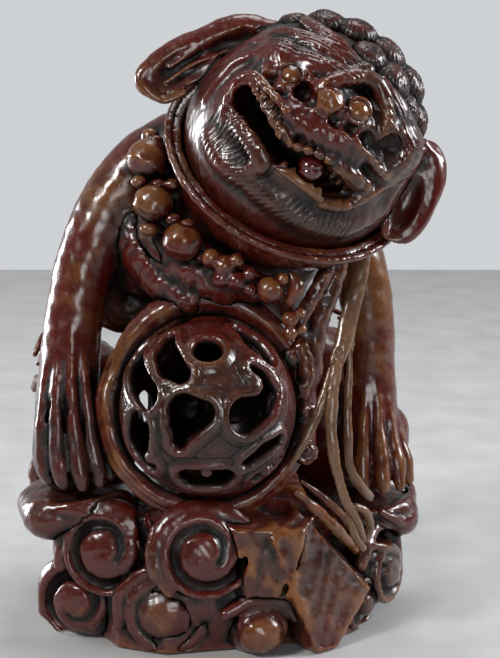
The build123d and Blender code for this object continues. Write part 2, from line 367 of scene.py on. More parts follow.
def build_mesh(name, points, faces, wear_and_shade):
    """A Blender mesh from millimetre points, facing outwards, with its wear and painted shade at each point.
    """
    a, b, c = points[faces[:, 0]], points[faces[:, 1]], points[faces[:, 2]]
    d = points[faces[:, 3]]
    volume = (a * np.cross(b, c)).sum() + (a * np.cross(c, d)).sum()
    if volume < 0:
        faces = faces[:, ::-1]
    real = faces[:, 2] != faces[:, 3]
    real &= faces[:, 0] != faces[:, 1]
    faces = faces[real]
    mesh = bpy.data.meshes.new(name)
    mesh.vertices.add(len(points))
    mesh.vertices.foreach_set("co", (points / 1000.0).astype(np.float32).ravel())
    mesh.loops.add(faces.size)
    mesh.loops.foreach_set("vertex_index", faces.astype(np.int32).ravel())
    mesh.polygons.add(len(faces))
    mesh.polygons.foreach_set("loop_start", np.arange(0, faces.size, 4, dtype=np.int32))
    mesh.update(calc_edges=True)
    mesh.validate()
    mesh.shade_smooth()
    mesh.set_sharp_from_angle(angle=math.radians(50))
    layer = mesh.attributes.new("wear_and_shade", "FLOAT", "POINT")
    layer.data.foreach_set("value", wear_and_shade.astype(np.float32))
    return mesh


# ---------------------------------------------------------------- places

def placing(axes, origin):
    """A placement from three directions, given as columns, and an origin."""
    place = np.eye(4)
    place[:3, :3] = axes
    place[:3, 3] = origin
    return place


def columns(*directions):
    return np.stack([unit(direction) for direction in directions], 1)


# the head and the brocade ball are carved in axes of their own: across, back and up
HEAD_PIVOT = np.array(NECK_JOINT["pos_m"]) * 1000.0
NECK_AXIS = unit(NECK_JOINT["axis"])
HEAD_AXES = columns((0.758032, -0.259327, -0.598446), (0.151136, 0.962423, -0.225611),
                    (0.634465, 0.080574, 0.768740))
HEAD_PLACE = placing(HEAD_AXES, HEAD_PIVOT)
HEAD_RADIUS = 27.3
NECK_IN_HEAD = HEAD_AXES.T @ NECK_AXIS
PEARL = HEAD_AXES.T @ (middle("mouth_pearl") - HEAD_PIVOT)
PEARL_ROOM = 3.45
COLLAR_SETBACK = 8.0
COLLAR_RADIUS = 29.8
CUP_THICKNESS = 3.6
HEAD_GAP = 0.75
BALL_CENTRE = middle("brocade_ball")
BALL_AXES = columns((0.970, -0.242, 0.0), (0.237, 0.949, -0.208), (0.050, 0.202, 0.978))
BALL_PLACE = placing(BALL_AXES, BALL_CENTRE)
BALL_RADIUS = 21.8
BALL_WALL = 3.4
BALL_ROOM = 21.7


def strand_profile(count):
    """Round strands side by side, one to each whole number: 0 on a strand's back, -1 in the valleys."""
    saw = 2.0 * (count - np.floor(count)) - 1.0
    return np.sqrt(np.clip(1.0 - saw * saw, 0, 1)) - 1.0


def stripes(spots, origin, along, across, spacing, depth, half_length, half_width, bend):
    """Carved hair: parallel rounded strands with fine valleys, fading out at the patch's edge."""
    along, across = unit(along), np.asarray(across, float)
    across = unit(across - along * (across @ along))
    offset = spots - np.asarray(origin, float)
    a = offset @ along
    b = offset @ across
    lift = offset @ np.cross(along, across)
    strand = strand_profile((b + bend * a * a + 0.25 * np.sin(0.55 * a + 0.4 * b)) / spacing)
    fade = 1.5
    mask = np.clip((half_length - np.abs(a)) / fade, 0, 1) * np.clip((half_width - np.abs(b)) / fade, 0, 1)
    mask = mask * (np.abs(lift) < 9.0)
    return depth * strand * mask


def ring(centre, across, up, radius, thick, count):
    """A closed round bar, as rows of (x, y, z, radius)."""
    rows = []
    for i in range(count + 1):
        angle = math.tau * i / count
        rows.append((*(centre + (across * math.cos(angle) + up * math.sin(angle)) * radius), thick))
    return rows


def rubbed(spots, places):
    """Extra wear round the places that hands and cloths reach: rows of (x, y, z, reach, amount)."""
    total = np.zeros(len(spots))
    for x, y, z, reach, amount in places:
        total += amount * np.exp(-((spots - (x, y, z)) ** 2).sum(1) / reach ** 2)
    return total


# ---------------------------------------------------------------- head

FACE_WEAR = [(-0.7, -30.5, 6.2, 3.6, 0.55), (1.5, -28.0, 14.5, 4.0, 0.35), (11.5, -25.0, 12.0, 4.0, 0.35),
             (22.0, -15.0, 5.0, 5.0, 0.25), (-14.0, -24.0, 6.0, 3.5, 0.25), (-6.0, -23.0, 17.0, 4.0, 0.20)]

HEAD_LINES = {
    "lip_right": [(-17.5, -19.1, -9.5, 1), (-18.7, -20, -6.6, 1.3), (-19.7, -20.3, -2.9, 1.4),
                  (-19.5, -21.2, -0.3, 1.4), (-18.4, -22.5, 1.8, 1.3), (-15.9, -24.5, 1.9, 1.2),
                  (-12.7, -26.6, 0.9, 1.2), (-9.6, -28.2, 0, 1.2), (-6.6, -29.4, -1, 1.1)],
    "lip_left": [(6.9, -29.4, 2.3, 0.9), (9.3, -28.5, 2.9, 1.1), (12.4, -26.8, 2.6, 1.2),
                 (15.3, -24.7, 2.2, 1.2), (17.9, -22.1, 2, 1.3), (20.4, -19.1, 2.8, 1.3),
                 (22.4, -15.9, 4.7, 1.3), (23.7, -12.5, 7.8, 1.2), (23.9, -9.2, 11.2, 1.1),
                 (23.3, -4.3, 14.8, 0.9)],
    "arch": [(-2.1, -28.6, 2.5, 1.2), (-3.1, -28.8, 5.7, 1.5), (-3.6, -28.6, 8.7, 1.7),
             (-2.3, -28.2, 11.4, 1.8), (0, -27.2, 13.9, 1.9), (2.2, -25.5, 16.1, 2), (4.9, -24.4, 17, 2.2),
             (7.5, -24, 16.2, 2.2), (10.1, -24, 14.2, 2.1), (12.2, -23.9, 11.9, 1.9),
             (13.8, -23.1, 9.5, 1.4)],
    "snout": [(-5.3, -26.3, -0.8, 3.2), (-1.8, -27.2, -0.6, 3.4), (2.1, -27.4, 0.1, 3.4),
              (6, -26.8, 0.7, 3.2), (10.5, -24.8, 0.7, 2.8)],
    "gum_right": [(-17.8, -20.2, -0.2, 1.4), (-14.3, -23.5, -0.9, 1.7), (-10.8, -25.6, -2.5, 1.8),
                  (-7.3, -26.8, -4, 1.7), (-3.7, -27.6, -5.2, 1.5)],
    "gum_left": [(7.1, -26.6, -3.1, 1.8), (10.2, -25.6, -2.9, 2), (13.6, -23.7, -2.9, 2.2),
                 (17, -21, -2.3, 1.9)],
    "jaw_strip": [(-18.1, -18.3, -7, 1), (-14.4, -21.5, -8.7, 1.3), (-10.8, -23.4, -10.1, 1.4),
                  (-7.3, -24.4, -11.5, 1.5), (-4.8, -24.2, -12.9, 1.6), (-5.4, -22.8, -14.9, 1.2)],
    "lower_lip": [(11.9, -22, -11.6, 1.3), (14.5, -21.2, -10.4, 1.4), (17, -20.3, -8.2, 1.4),
                  (18.7, -19.6, -5.1, 1.3), (20.1, -18.7, -1.3, 1.2), (21.8, -16.3, 2.4, 1)],
    "beard_right": [(-16, -14.4, -14, 3), (-12.5, -16.2, -15.9, 3.2), (-8.2, -18.2, -16.5, 3.2),
                    (-4, -19.5, -16.3, 3)],
    "beard_chin": [(-0.8, -19.2, -16.7, 3), (3.7, -19.4, -16.7, 3.4), (8.6, -18.2, -16.3, 3.4),
                   (13.4, -16.2, -14.8, 3.4), (17.8, -14.3, -11.8, 3.6), (20.9, -12.8, -7.1, 3.2),
                   (23, -10.3, -2.4, 2.6)],
    "cheek_back": [(23.9, -4.3, 14.7, 1.2), (24.5, -5.6, 10.6, 1.4), (23.6, -12.4, 4.8, 1.5),
                   (23.6, -13, 0.7, 1.5), (24.2, -10.9, -2.7, 1.4), (24.2, -9.1, -6, 1.2)],
    "forehead_ridge": [(-23.1, -11.9, -7.6, 1), (-23.3, -14.2, -3.5, 1.2), (-23.2, -15.3, 1.6, 1.3),
                       (-21.2, -17.2, 5.6, 1.2), (-18.6, -19, 7.9, 1)],
}
BROW_LINES = {
    "brow_a": [(-19.8, -14.6, 11.7, 1.2), (-17.8, -16.3, 14.4, 1.5), (-14.3, -19.7, 15.6, 1.7),
               (-9.6, -22.6, 16.4, 1.6), (-4.9, -24.1, 16.6, 1.4), (-1.3, -23.7, 17.1, 0.9)],
    "brow_b": [(-16.1, -18.7, 12.1, 1.1), (-12.6, -22.2, 12.2, 1.4), (-8.4, -25, 12.4, 1.6),
               (-4.1, -26.3, 13.2, 1.6), (-0.5, -26, 14.8, 1.5), (1.7, -23.2, 18.4, 1.3)],
    "brow_c": [(-15.4, -10.2, 21.2, 1.2), (-11.5, -18, 19.8, 1.5), (-7, -21.6, 19.1, 1.5),
               (-2.9, -22.9, 18.6, 1.2), (1.3, -22.4, 18.5, 0.8)],
    "brow_e": [(-22.0, -12.4, 10.0, 0.8), (-20.0, -15.4, 11.4, 1.2), (-16.8, -19.0, 11.8, 1.3),
               (-13.0, -22.6, 10.8, 0.9)],
    "lock_outer": [(6.9, -19.2, 19.3, 1), (10, -20, 17.6, 1.6), (13.9, -18.9, 16.1, 1.9),
                   (18.1, -15, 15.3, 1.6), (22.3, -6.4, 15.9, 0.9)],
    "lock_inner": [(8.3, -21.8, 16, 0.8), (11.3, -21.6, 14.4, 1.2), (15, -20.1, 12.8, 1.4),
                   (18.9, -16, 12.9, 1.2), (22.8, -7.4, 14.0, 0.8)],
}
MOUTH_LINE = [(-18, -19.6, -2.7, 2.8), (-14.7, -22.1, -4.0, 3.2), (-10.8, -23.9, -5.9, 3.0),
              (-6.6, -24.8, -7.8, 2.7), (-2, -25.3, -8.7, 2.7), (2.5, -25.2, -8.6, 3.1),
              (7, -24.4, -8.5, 3.2), (11.1, -23.1, -7.8, 2.5), (15.1, -21.2, -6.6, 1.6)]


# hollows of the nostrils, the eye sockets and the cheeks: (x, y, z, radius)
FACE_HOLLOWS = [(-3.9, -28.9, 4.2, 1.7), (2.8, -29.8, 4.0, 1.7), (6.9, -28.9, 4.6, 1.5),
                (11.6, -26.2, 5.2, 2.4), (14.4, -24.1, 5.0, 1.8), (-6.6, -26.6, 5.0, 2.4),
                (-9.0, -25.6, 9.6, 1.6), (-13.9, -24.4, 3.6, 1.3)]
MUZZLE_KNOBS = [(-2.4, -27.8, -5.9, 1.1), (-0.1, -28.1, -5.7, 1.2), (2.1, -28.3, -4.9, 1.2),
                (4.5, -28.1, -4.1, 1.2), (7.3, -27.3, -3.5, 1.1)]
UPPER_TEETH = [(-14.7, -24.3, -0.7, 1.0), (-12.7, -25.7, -1.3, 1.15), (-10.7, -26.9, -2.2, 1.15),
               (-8.8, -27.5, -3.3, 1.05), (-6.8, -28.0, -4.1, 0.95)]


def scaled(rows, share):
    """The same line with its radii scaled."""
    return [(x, y, z, radius * share) for x, y, z, radius in rows]


def shell_point(x, z, radius=HEAD_RADIUS):
    """Point of the skull's front at this place across and up."""
    return np.array([x, -math.sqrt(max(radius ** 2 - x * x - z * z, 0.0)), z])


# mane curls: direction from the head's middle (x, y, z), radius, lift above the skull, start of the winding
FRONT_CURLS = [
    (-17.6, -1.0, 21.2, 4.2, 1.2, 0.4), (-11.4, -6.4, 24.4, 5.0, 1.8, 0.0),
    (-4.0, -7.4, 26.4, 5.2, 2.2, 0.2), (4.0, -7.6, 27.0, 5.4, 2.2, 0.6), (1.0, -15.6, 23.6, 4.6, 1.2, 0.4),
    (8.6, -15.2, 22.0, 5.2, 1.4, 0.1), (12.2, -6.0, 24.6, 5.6, 2.0, 0.8), (15.6, -12.8, 19.4, 4.4, 0.8, 0.3),
    (19.0, -3.4, 20.4, 4.8, 1.2, 0.5), (21.6, -8.6, 15.8, 3.6, 0.2, 0.9), ]
# curls down the back of the head, all lifted alike: direction (x, y, z), radius, start of the winding
BACK_CURL_LIFT = 1.4
BACK_CURLS = [
    (-20, 7, 16, 5.0, 0.6), (-12, 5, 23, 5.4, 0.4), (-3, 3.5, 26, 5.6, 0.0), (6, 4, 26, 5.6, 0.2),
    (14, 5, 21.5, 5.4, 0.7), (20.5, 7, 14, 5.0, 0.2), (-22.5, 11, 8, 4.8, 0.9), (-16, 15, 15, 5.4, 0.2),
    (-7, 15, 20, 5.6, 0.8), (3, 16, 20, 5.6, 0.4), (12, 15.5, 17, 5.4, 0.1), (19.5, 15, 8, 5.0, 0.4),
    (-11, 21.5, 10, 5.2, 0.8), (-2, 23, 11.5, 5.4, 0.2), (8, 22.5, 10, 5.4, 0.6), (23.5, 10, 5, 4.8, 0.4),
    (-17, 21, 5, 5.0, 0.3), (15, 21, 5.5, 5.0, 0.5),
]
CURL_FLATNESS = 0.72
CURL_SINK = 1.6
# every curl carved so far: centre, side, direction, top, radius, start
carved_curls = []


def carve_curl(block, direction, radius, lift, start):
    """The dome of one round curl; its hair lines are cut later, by curl_lines."""
    direction = unit(direction)
    centre = direction * (HEAD_RADIUS - CURL_SINK + lift)
    side = unit(np.cross(direction, (0.13, -0.3, 0.94)))
    top = np.cross(side, direction)
    turn = np.stack([side, direction, top], 1)
    block.lump("mane", centre, (radius, radius * CURL_FLATNESS, radius), 0.7, turn)
    carved_curls.append((centre, side, direction, top, radius, start))


def curl_lines(spots, hairs=21, depth=0.44):
    """Hair of the curls: fine grooves that sweep round from a small button in the middle."""
    push = np.zeros(len(spots))
    nearest = np.full(len(spots), 9.0)
    for centre, side, direction, top, radius, start in carved_curls:
        offset = spots - centre
        x, y, lift = offset @ side, offset @ top, offset @ direction
        r = np.sqrt(x * x + y * y + 0.45 * lift * lift) / radius
        mine = r < np.minimum(nearest, 1.35)
        nearest = np.where(mine, r, nearest)
        angle = np.arctan2(y, x) / math.tau
        count = hairs if radius > 4.5 else hairs - 5
        hair = strand_profile(count * (angle + 0.34 * r + start))
        wound = strand_profile(2.2 * r - angle + start)
        share = np.clip((r - 0.30) / 0.2, 0, 1)
        push = np.where(mine, depth * (share * hair + 0.55 * wound), push)
    return push


def eyelids(block, place, radius):
    """Two folds of skin that lie over the upper and lower edge of an eye."""
    out = unit(place)
    side = unit(np.cross(out, (0, 0, 1)))
    above = np.cross(side, out)
    for first, last, thick in ((15, 165, 1.0), (200, 340, 0.7)):
        fold = []
        for i in range(9):
            angle = math.radians(first + (last - first) * i / 8)
            reach = radius * 0.86
            round_eye = side * (reach * math.cos(angle)) + above * (reach * math.sin(angle))
            spot = place + round_eye + out * radius * 0.48
            fold.append((*spot, thick * (0.45 + 0.55 * math.sin(math.pi * i / 8))))
        block.bar("head", fold, 0.7, spans=1)


def carve_skull(block):
    """The round head with its muzzle, cheeks, gums and beard."""
    block.lump("head", (0, 0, 0), HEAD_RADIUS, 0)
    block.lump("head", (0.5, -21.5, 5.0), (12.5, 8.0, 8.0), 3.0)
    block.lump("head", (-12.0, -17.4, 9.0), (8.4, 7.6, 6.6), 3.0)
    block.lump("head", (15.0, -16.0, 9.0), (9.5, 8.5, 8.0), 3.0)
    block.bar("head", HEAD_LINES["snout"], 2.0)
    for name in ("gum_right", "gum_left"):
        block.bar("head", HEAD_LINES[name], 1.2)
    for name in ("beard_right", "beard_chin"):
        block.bar("head", HEAD_LINES[name], 2.0)


def carve_mouth(block):
    """A deep curved slot, then the lips, the ridges of cheek and forehead, and a rough strip of jaw."""
    for depth, grow in ((0.0, 0.0), (4.0, 0.2), (8.5, 0.0), (12.0, -0.6)):
        rows = []
        for x, y, z, r in MOUTH_LINE:
            inward = -unit((x, y, z)) * depth
            rows.append((x + inward[0], y + inward[1], z + inward[2], r + grow))
        block.groove(rows, 0.8)
    for name in ("lip_right", "lip_left", "lower_lip", "cheek_back", "forehead_ridge"):
        block.bar("head", scaled(HEAD_LINES[name], 0.80), 1.6)
    block.bar("head", scaled(HEAD_LINES["arch"], 0.92), 1.8)
    block.bar("head", scaled(HEAD_LINES["jaw_strip"], 1.55), 0.9, flat=(unit((-0.36, -0.86, -0.36)), 0.6))
    for i, (x, y, z, radius) in enumerate(HEAD_LINES["jaw_strip"][:-1]):
        block.lump("head", (x + 0.9, y - 0.9, z + 0.9), radius * (0.62 + 0.12 * (i % 2)), 0.5)


def carve_nose_and_eyes(block):
    """The nose between its hollows, then each eye with its lids, and the small folds round them."""
    block.lump("head", (-0.7, -28.9, 6.2), (3.5, 3.2, 3.2), 0.7)
    for x, y, z, radius in FACE_HOLLOWS:
        block.scoop((x, y, z), radius, 1.0)
    block.scoop((17.6, -23.4, 7.4), (3.6, 2.4, 3.6), 1.5)
    for node, place, radius in (("eye_left", (5.5, -26.9, 8.4), 3.2),
                                ("eye_right", (-10.3, -23.9, 6.4), 3.0)):
        block.lump(node, place, radius, 0.5)
        eyelids(block, np.array(place), radius)
    block.lump("head", (-15.3, -22.4, 5.2), 1.9, 0.8)
    block.lump("head", (-10.8, -25.4, 2.9), (2.0, 1.6, 1.2), 0.8)
    for i in range(3):
        block.bar("head", [(-14.6 + i, -23.0 - 0.4 * i, 9.2 + 1.1 * i, 0.5),
                           (-10.8 + i, -25.1 - 0.3 * i, 10.0 + 1.0 * i, 0.75),
                           (-6.8 + i, -26.7, 9.2 + 1.1 * i, 0.45)], 0.4)


def carve_teeth(block):
    """Knobs along the edge of the muzzle, then both rows of teeth."""
    block.lumps("head", MUZZLE_KNOBS, 0.6)
    for x, y, z, radius in UPPER_TEETH:
        block.lump("teeth_upper", (x, y, z), (radius, radius, radius * 1.3), 0.25)
    block.spiral("teeth_upper", (-4.7, -28.2, -5.9), (1, 0.2, 0), (0, 0.1, 1), 1.5, 1.1, 0.55, 0.3,
                 end_thick=0.5)
    for i in range(5):
        top = shell_point(9.2 + 2.0 * i, -2.0 - 0.1 * i, 27.6 - 0.3 * i)
        low = shell_point(9.8 + 2.0 * i, -6.0 + 0.2 * i, 26.2 - 0.4 * i)
        block.bar("teeth_upper", [(*top, 0.85), (*((top + low) / 2 * 1.012), 1.0), (*low, 0.7)], 0.25)
    block.bar("teeth_lower", [(-1.1, -23.7, -11.8, 0.8), (1.8, -24.7, -11.3, 1.2), (5.2, -24.9, -11.2, 1.35),
                              (8.4, -24.1, -11.2, 1.25), (10.9, -22.9, -11.4, 0.9)], 0.6)
    for i in range(5):
        low = np.array((-0.2 + 2.4 * i, -24.9 + 0.18 * (i - 2) ** 2, -10.4))
        block.lump("teeth_lower", low, (0.95, 0.8, 1.2), 0.3)


def carve_brows(block):
    """Brows and locks: flat strands lying over the skull."""
    for rows in BROW_LINES.values():
        block.bar("head", scaled(rows, 1.55), 0.3, flat=(unit(rows[len(rows) // 2][:3]), 0.62))
    block.lump("head", (1.9, -23.6, 18.6), (1.7, 1.4, 1.4), 0.3)


def carve_mane(block):
    """Rows of curls over the crown and down the back of the head."""
    for x, y, z, radius, lift, start in FRONT_CURLS:
        carve_curl(block, (x, y, z), radius, lift, start)
    for x, y, z, radius, start in BACK_CURLS:
        carve_curl(block, (x, y, z), radius, BACK_CURL_LIFT, start)


def carve_ears(block):
    """Ears: thick rimmed leaves, hollow to the front."""
    block.lump("ear_right", (-26.8, -1.4, 9.4), (5.4, 3.0, 8.8), 1.5, tilt(38))
    block.lump("ear_right", (-33.0, -1.6, -2.8), (5.8, 2.8, 11.8), 1.5, tilt(22))
    block.scoop((-26.6, -5.2, 7.5), (3.6, 3.6, 7.6), 0.8, tilt(36))
    block.scoop((-31.6, -5.0, -3.4), (4.4, 3.4, 9.0), 0.8, tilt(22))
    block.bar("ear_right", [(-21.0, -2.6, 17.0, 1.4), (-26.2, -2.0, 14.0, 1.6), (-31.6, -1.8, 7.0, 1.6),
                            (-35.0, -1.8, 0.8, 1.5), (-37.8, -2.0, -5.8, 1.3), (-38.9, -2.6, -10.6, 1.1),
                            (-36.6, -2.8, -12.8, 0.9), (-31.0, -3.0, -12.4, 0.8),
                            (-28.2, -3.4, -8.0, 0.7)], 1.8)
    block.lumps("ear_right", [(-23.8, -2.0, 14.6, 1.7), (-28.2, -2.0, 11.0, 1.9), (-31.8, -2.0, 5.6, 1.8),
                              (-34.4, -2.0, 0.4, 1.6)], 1.4)
    block.bars("ear_right", [[(-27.2, -3.8, 12.0, 0.5), (-31.0, -3.2, 5.0, 0.7), (-34.6, -3.2, -5.4, 0.5)],
                             [(-26.0, -3.4, 6.0, 0.4), (-30.4, -2.6, -1.0, 0.6), (-33.0, -3.0, -8.4, 0.4)]],
               1.0)
    block.lump("ear_left", (28.2, -0.8, 11.0), (5.4, 2.8, 8.4), 1.5, tilt(-30))
    block.lump("ear_left", (30.6, -1.4, 1.4), (4.6, 2.6, 8.2), 1.5, tilt(-8))
    block.scoop((28.6, -4.6, 2.2), (3.2, 3.2, 7.4), 0.8, tilt(-10))
    block.bar("ear_left", [(23.4, -3.4, 16.6, 0.9), (28.4, -2.2, 14.6, 1.2), (32.6, -2.0, 8.4, 1.2),
                           (34.4, -2.0, 1.6, 1.1), (33.2, -2.4, -4.4, 1.0), (29.6, -2.8, -6.4, 0.8),
                           (26.6, -3.4, -3.6, 0.7)], 1.6)


def plain_neck_end(block):
    """Behind the collar the head goes back to a plain ball, so that it turns in its cup."""
    limit = 3.6 - COLLAR_SETBACK
    fade = 2.4
    view = tuple(slice(0, n) for n in block.size)
    x, y, z = block.places(view)
    across, back, up = NECK_IN_HEAD.astype(np.float32)
    depth = x * across + y * back + z * up
    share = np.clip((limit - depth) / fade, 0, 1)
    outside = np.minimum(np.sqrt(x * x + y * y + z * z) - (HEAD_RADIUS + 0.1), FAR)
    cut = np.maximum(block.field, outside * share - FAR * (1 - share))
    block.field = np.where(depth < limit, cut, block.field).astype(np.float32)


def carve_head():
    """Head, mane, ears, eyes and teeth, in the head's own axes."""
    block = Block((-45, -38, -34), (39, 32, 39), FINE, HEAD_PLACE)
    for carve_part in (carve_skull, carve_mouth, carve_nose_and_eyes, carve_teeth, carve_brows, carve_mane,
                       carve_ears, plain_neck_end):
        carve_part(block)
    view, room = block.oval(PEARL, (PEARL_ROOM,) * 3)
    block.field[view] = carve(block.field[view], room, 0.3)
    block.relief.append(head_relief)
    block.shade.append(head_shade)
    return block


def head_shade(spots, node):
    """Painted shade darkens the inside of the mouth, and the mane and the brow keep more of their dark
    lacquer.
    """
    deep = np.linalg.norm(spots, axis=1)
    # painted shade deep inside the mouth
    dark = -0.55 * np.clip((25.4 - deep) / 2.5, 0, 1) * (spots[:, 1] < -12)
    if node == "mane":
        return dark - 0.30
    dark = dark + rubbed(spots, FACE_WEAR)
    if node == "head":
        dark = dark - 0.14 - 0.12 * np.clip((spots[:, 2] - 8.0) / 6.0, 0, 1)
    return dark


def tilt(degrees):
    """Turn about the head's fore and aft line."""
    angle = math.radians(degrees)
    return np.array([[math.cos(angle), 0, math.sin(angle)], [0, 1, 0],
                     [-math.sin(angle), 0, math.cos(angle)]])


# patches of carved hair: origin, along, across, spacing, depth, half length, half width, bend
HAIR = [
    ((-16.4, -17.6, -13.0), (0.10, 0.62, -0.76), (0.78, -0.45, 0.0), 1.30, 0.42, 6.2, 5.2, 0.010),
    ((-8.6, -19.8, -16.6), (-0.60, 0.36, -0.60), (0.60, -0.10, -0.70), 1.25, 0.42, 3.8, 5.6, 0.015),
    ((0.4, -21.0, -17.6), (-0.50, 0.55, -0.66), (0.85, 0.05, -0.50), 1.30, 0.45, 4.6, 5.8, 0.012),
    ((8.6, -19.8, -17.0), (-0.30, 0.62, -0.72), (0.92, 0.15, -0.20), 1.35, 0.42, 4.4, 4.6, 0.012),
    ((16.6, -16.8, -14.2), (-0.05, 0.72, -0.68), (0.84, 0.30, 0.42), 1.40, 0.50, 5.0, 5.4, 0.010),
    ((-13.0, -21.8, -10.0), (-0.55, 0.20, -0.62), (0.66, -0.30, -0.50), 1.15, 0.62, 3.4, 8.0, 0.010),
    ((-9.0, -20.6, 17.0), (0.86, -0.40, 0.22), (0.0, 0.48, 0.80), 1.15, 0.50, 13.0, 8.0, 0.004),
    ((14.0, -18.6, 15.4), (0.72, 0.62, -0.16), (0.20, -0.40, 0.86), 1.10, 0.40, 9.0, 4.4, 0.006),
    ((22.6, -13.0, 2.4), (0.10, 0.30, -0.94), (0.50, -0.84, -0.10), 1.50, 0.30, 9.0, 4.0, 0.006),
]


def head_relief(spots, node):
    """Carved hair, curls, knife marks, and a rougher surface over the muzzle."""
    push = np.zeros(len(spots))
    if node == "head":
        for patch in HAIR:
            push += stripes(spots, *patch)
    if node == "mane":
        push += curl_lines(spots)
    if node in ("head", "mane", "ear_left", "ear_right"):
        push += knife_marks(spots, 0.09)
    if node in ("head", "teeth_upper"):
        out = np.linalg.norm(spots, axis=1)
        front = np.clip((-17.0 - spots[:, 1]) / 4.0, 0, 1) * np.clip((spots[:, 2] + 11.0) / 4.0, 0, 1)
        front = front * (1.0 - 0.75 * np.clip((spots[:, 2] - 8.0) / 4.0, 0,
                                              1)) * np.clip((out - 25.5) / 1.5, 0, 1)
        push += front * (knife_marks(spots * 1.15 + 3.0,
                                     0.26) + knife_marks(spots[:, [2, 0, 1]] * 0.8, 0.14))
    return push


def knife_marks(spots, depth):
    """Uneven carved surface: shallow overlapping knife cuts."""
    x, y, z = spots[:, 0], spots[:, 1], spots[:, 2]
    wide = np.sin(1.15 * x + 0.8 * np.sin(0.9 * y + 0.4 * z))
    wide = wide * np.sin(1.05 * z + 0.9 * np.sin(0.8 * x) + 1.3 * y)
    fine = np.sin(2.4 * y - 1.1 * x + 1.2 * np.sin(1.3 * z)) * np.sin(2.1 * z + 1.4 * x)
    return depth * (0.65 * wide + 0.40 * fine)


# ---------------------------------------------------------------- trunk, limbs, harness and ribbons

def carve_torso(block):
    """Chest, belly and back, the cup for the head, and wood beside the right foreleg."""
    torso = "torso"
    block.lump(torso, (6, 15, 44), (19, 15.5, 28), 0)
    block.lump(torso, (6, 13, 74), (20.5, 15, 24), 5.0)
    block.lump(torso, (5, 6, 93), (26, 17, 17), 6.0)
    block.bar(torso, [(-10, 4, 106, 9), (6, 5, 103, 11), (24, 2, 98, 9)], 6.0)
    block.lump(torso, HEAD_PIVOT, HEAD_RADIUS + 3.2, 3.0)
    block.lump(torso, (-13, 7.5, 96), (14.5, 12.5, 17), 4.0)
    block.lump(torso, (-9, -2.0, 94), (13, 12, 13), 4.0)
    block.bar(torso, [(-27.0, 8.0, 96, 6.0), (-24.6, 11.0, 78.0, 5.6), (-15.0, 11.0, 74.6, 5.4)], 3.0)


def carve_forelegs(block):
    """Each foreleg is a bar that ends in a row of toes."""
    block.bar("foreleg_right", [(-9, 2.5, 118, 7.0), (-17.5, 2.8, 112, 7.6), (-25.6, 2.4, 102.5, 7.2),
                                (-31.4, 1.4, 90, 6.9), (-34.6, -0.2, 76, 7.0), (-36.4, -2.2, 62, 7.4),
                                (-37.4, -4.2, 50, 8.0), (-37.6, -5.0, 43.6, 8.2)], 4.0)
    block.bar("foreleg_left", [(30, 3, 101, 7.2), (36.0, 0.6, 88, 6.8), (38.6, -1.2, 74, 6.4),
                               (38.9, -2.0, 60, 6.4), (38.6, -3.4, 48, 7.2), (38.8, -4.6, 38.4, 7.6)], 4.0)
    toes_right = [
        [(-40.4, -3.0, 72, 0.8), (-42.6, -5.6, 60, 1.5), (-43.8, -8.0, 50, 1.9), (-43.6, -9.6, 43.5, 2.2),
         (-43.0, -11.0, 40, 1.3)],
        [(-38.6, -5.4, 73, 0.8), (-40.2, -8.4, 61, 1.6), (-40.8, -11.2, 50, 2.1), (-40.4, -13.0, 43.5, 2.5),
         (-40.0, -14.4, 39.6, 1.4)],
        [(-36.2, -6.6, 74, 0.8), (-37.0, -9.8, 61, 1.6), (-36.8, -12.8, 50, 2.1), (-36.2, -14.8, 43.5, 2.5),
         (-35.8, -16.2, 39.4, 1.4)],
        [(-33.8, -6.2, 73, 0.8), (-33.8, -9.4, 61, 1.6), (-33.0, -12.0, 50, 2.0), (-32.0, -13.6, 43.5, 2.4),
         (-31.4, -14.8, 39.6, 1.3)],
        [(-31.8, -4.4, 70, 0.8), (-31.2, -7.2, 58, 1.4), (-30.0, -9.0, 49, 1.7), (-28.8, -10.2, 43.5, 2.0),
         (-28.2, -11.2, 40, 1.2)],
    ]
    block.bars("foreleg_right", toes_right, 0.7)
    for x, y, z in ((-42.2, -8.6, 51), (-38.8, -11.4, 51), (-35.0, -12.2, 51), (-31.6, -10.4, 51)):
        block.groove([(x, y - 0.6, z + 9, 0.4), (x, y, z, 0.8), (x + 0.3, y - 3.0, z - 9, 0.8)], 0.6)
    toes_left = [
        [(36.4, -7.0, 58, 0.8), (35.0, -10.2, 46, 1.6), (34.2, -12.6, 38, 2.2), (34.0, -14.4, 33.6, 1.3)],
        [(39.0, -7.6, 58, 0.8), (38.8, -11.0, 46, 1.6), (38.6, -13.8, 38, 2.3), (38.6, -15.8, 33.4, 1.3)],
        [(41.4, -6.4, 58, 0.8), (42.4, -9.8, 46, 1.6), (43.0, -12.2, 38, 2.3), (43.4, -14.2, 33.4, 1.3)],
        [(43.2, -4.0, 56, 0.8), (45.0, -6.4, 45, 1.5), (46.4, -8.2, 38, 2.1), (47.2, -9.6, 33.6, 1.2)],
    ]
    block.bars("foreleg_left", toes_left, 0.7)
    block.lump("foreleg_left", (45.0, -1.0, 43.0), (4.6, 5.2, 7.4), 1.5)


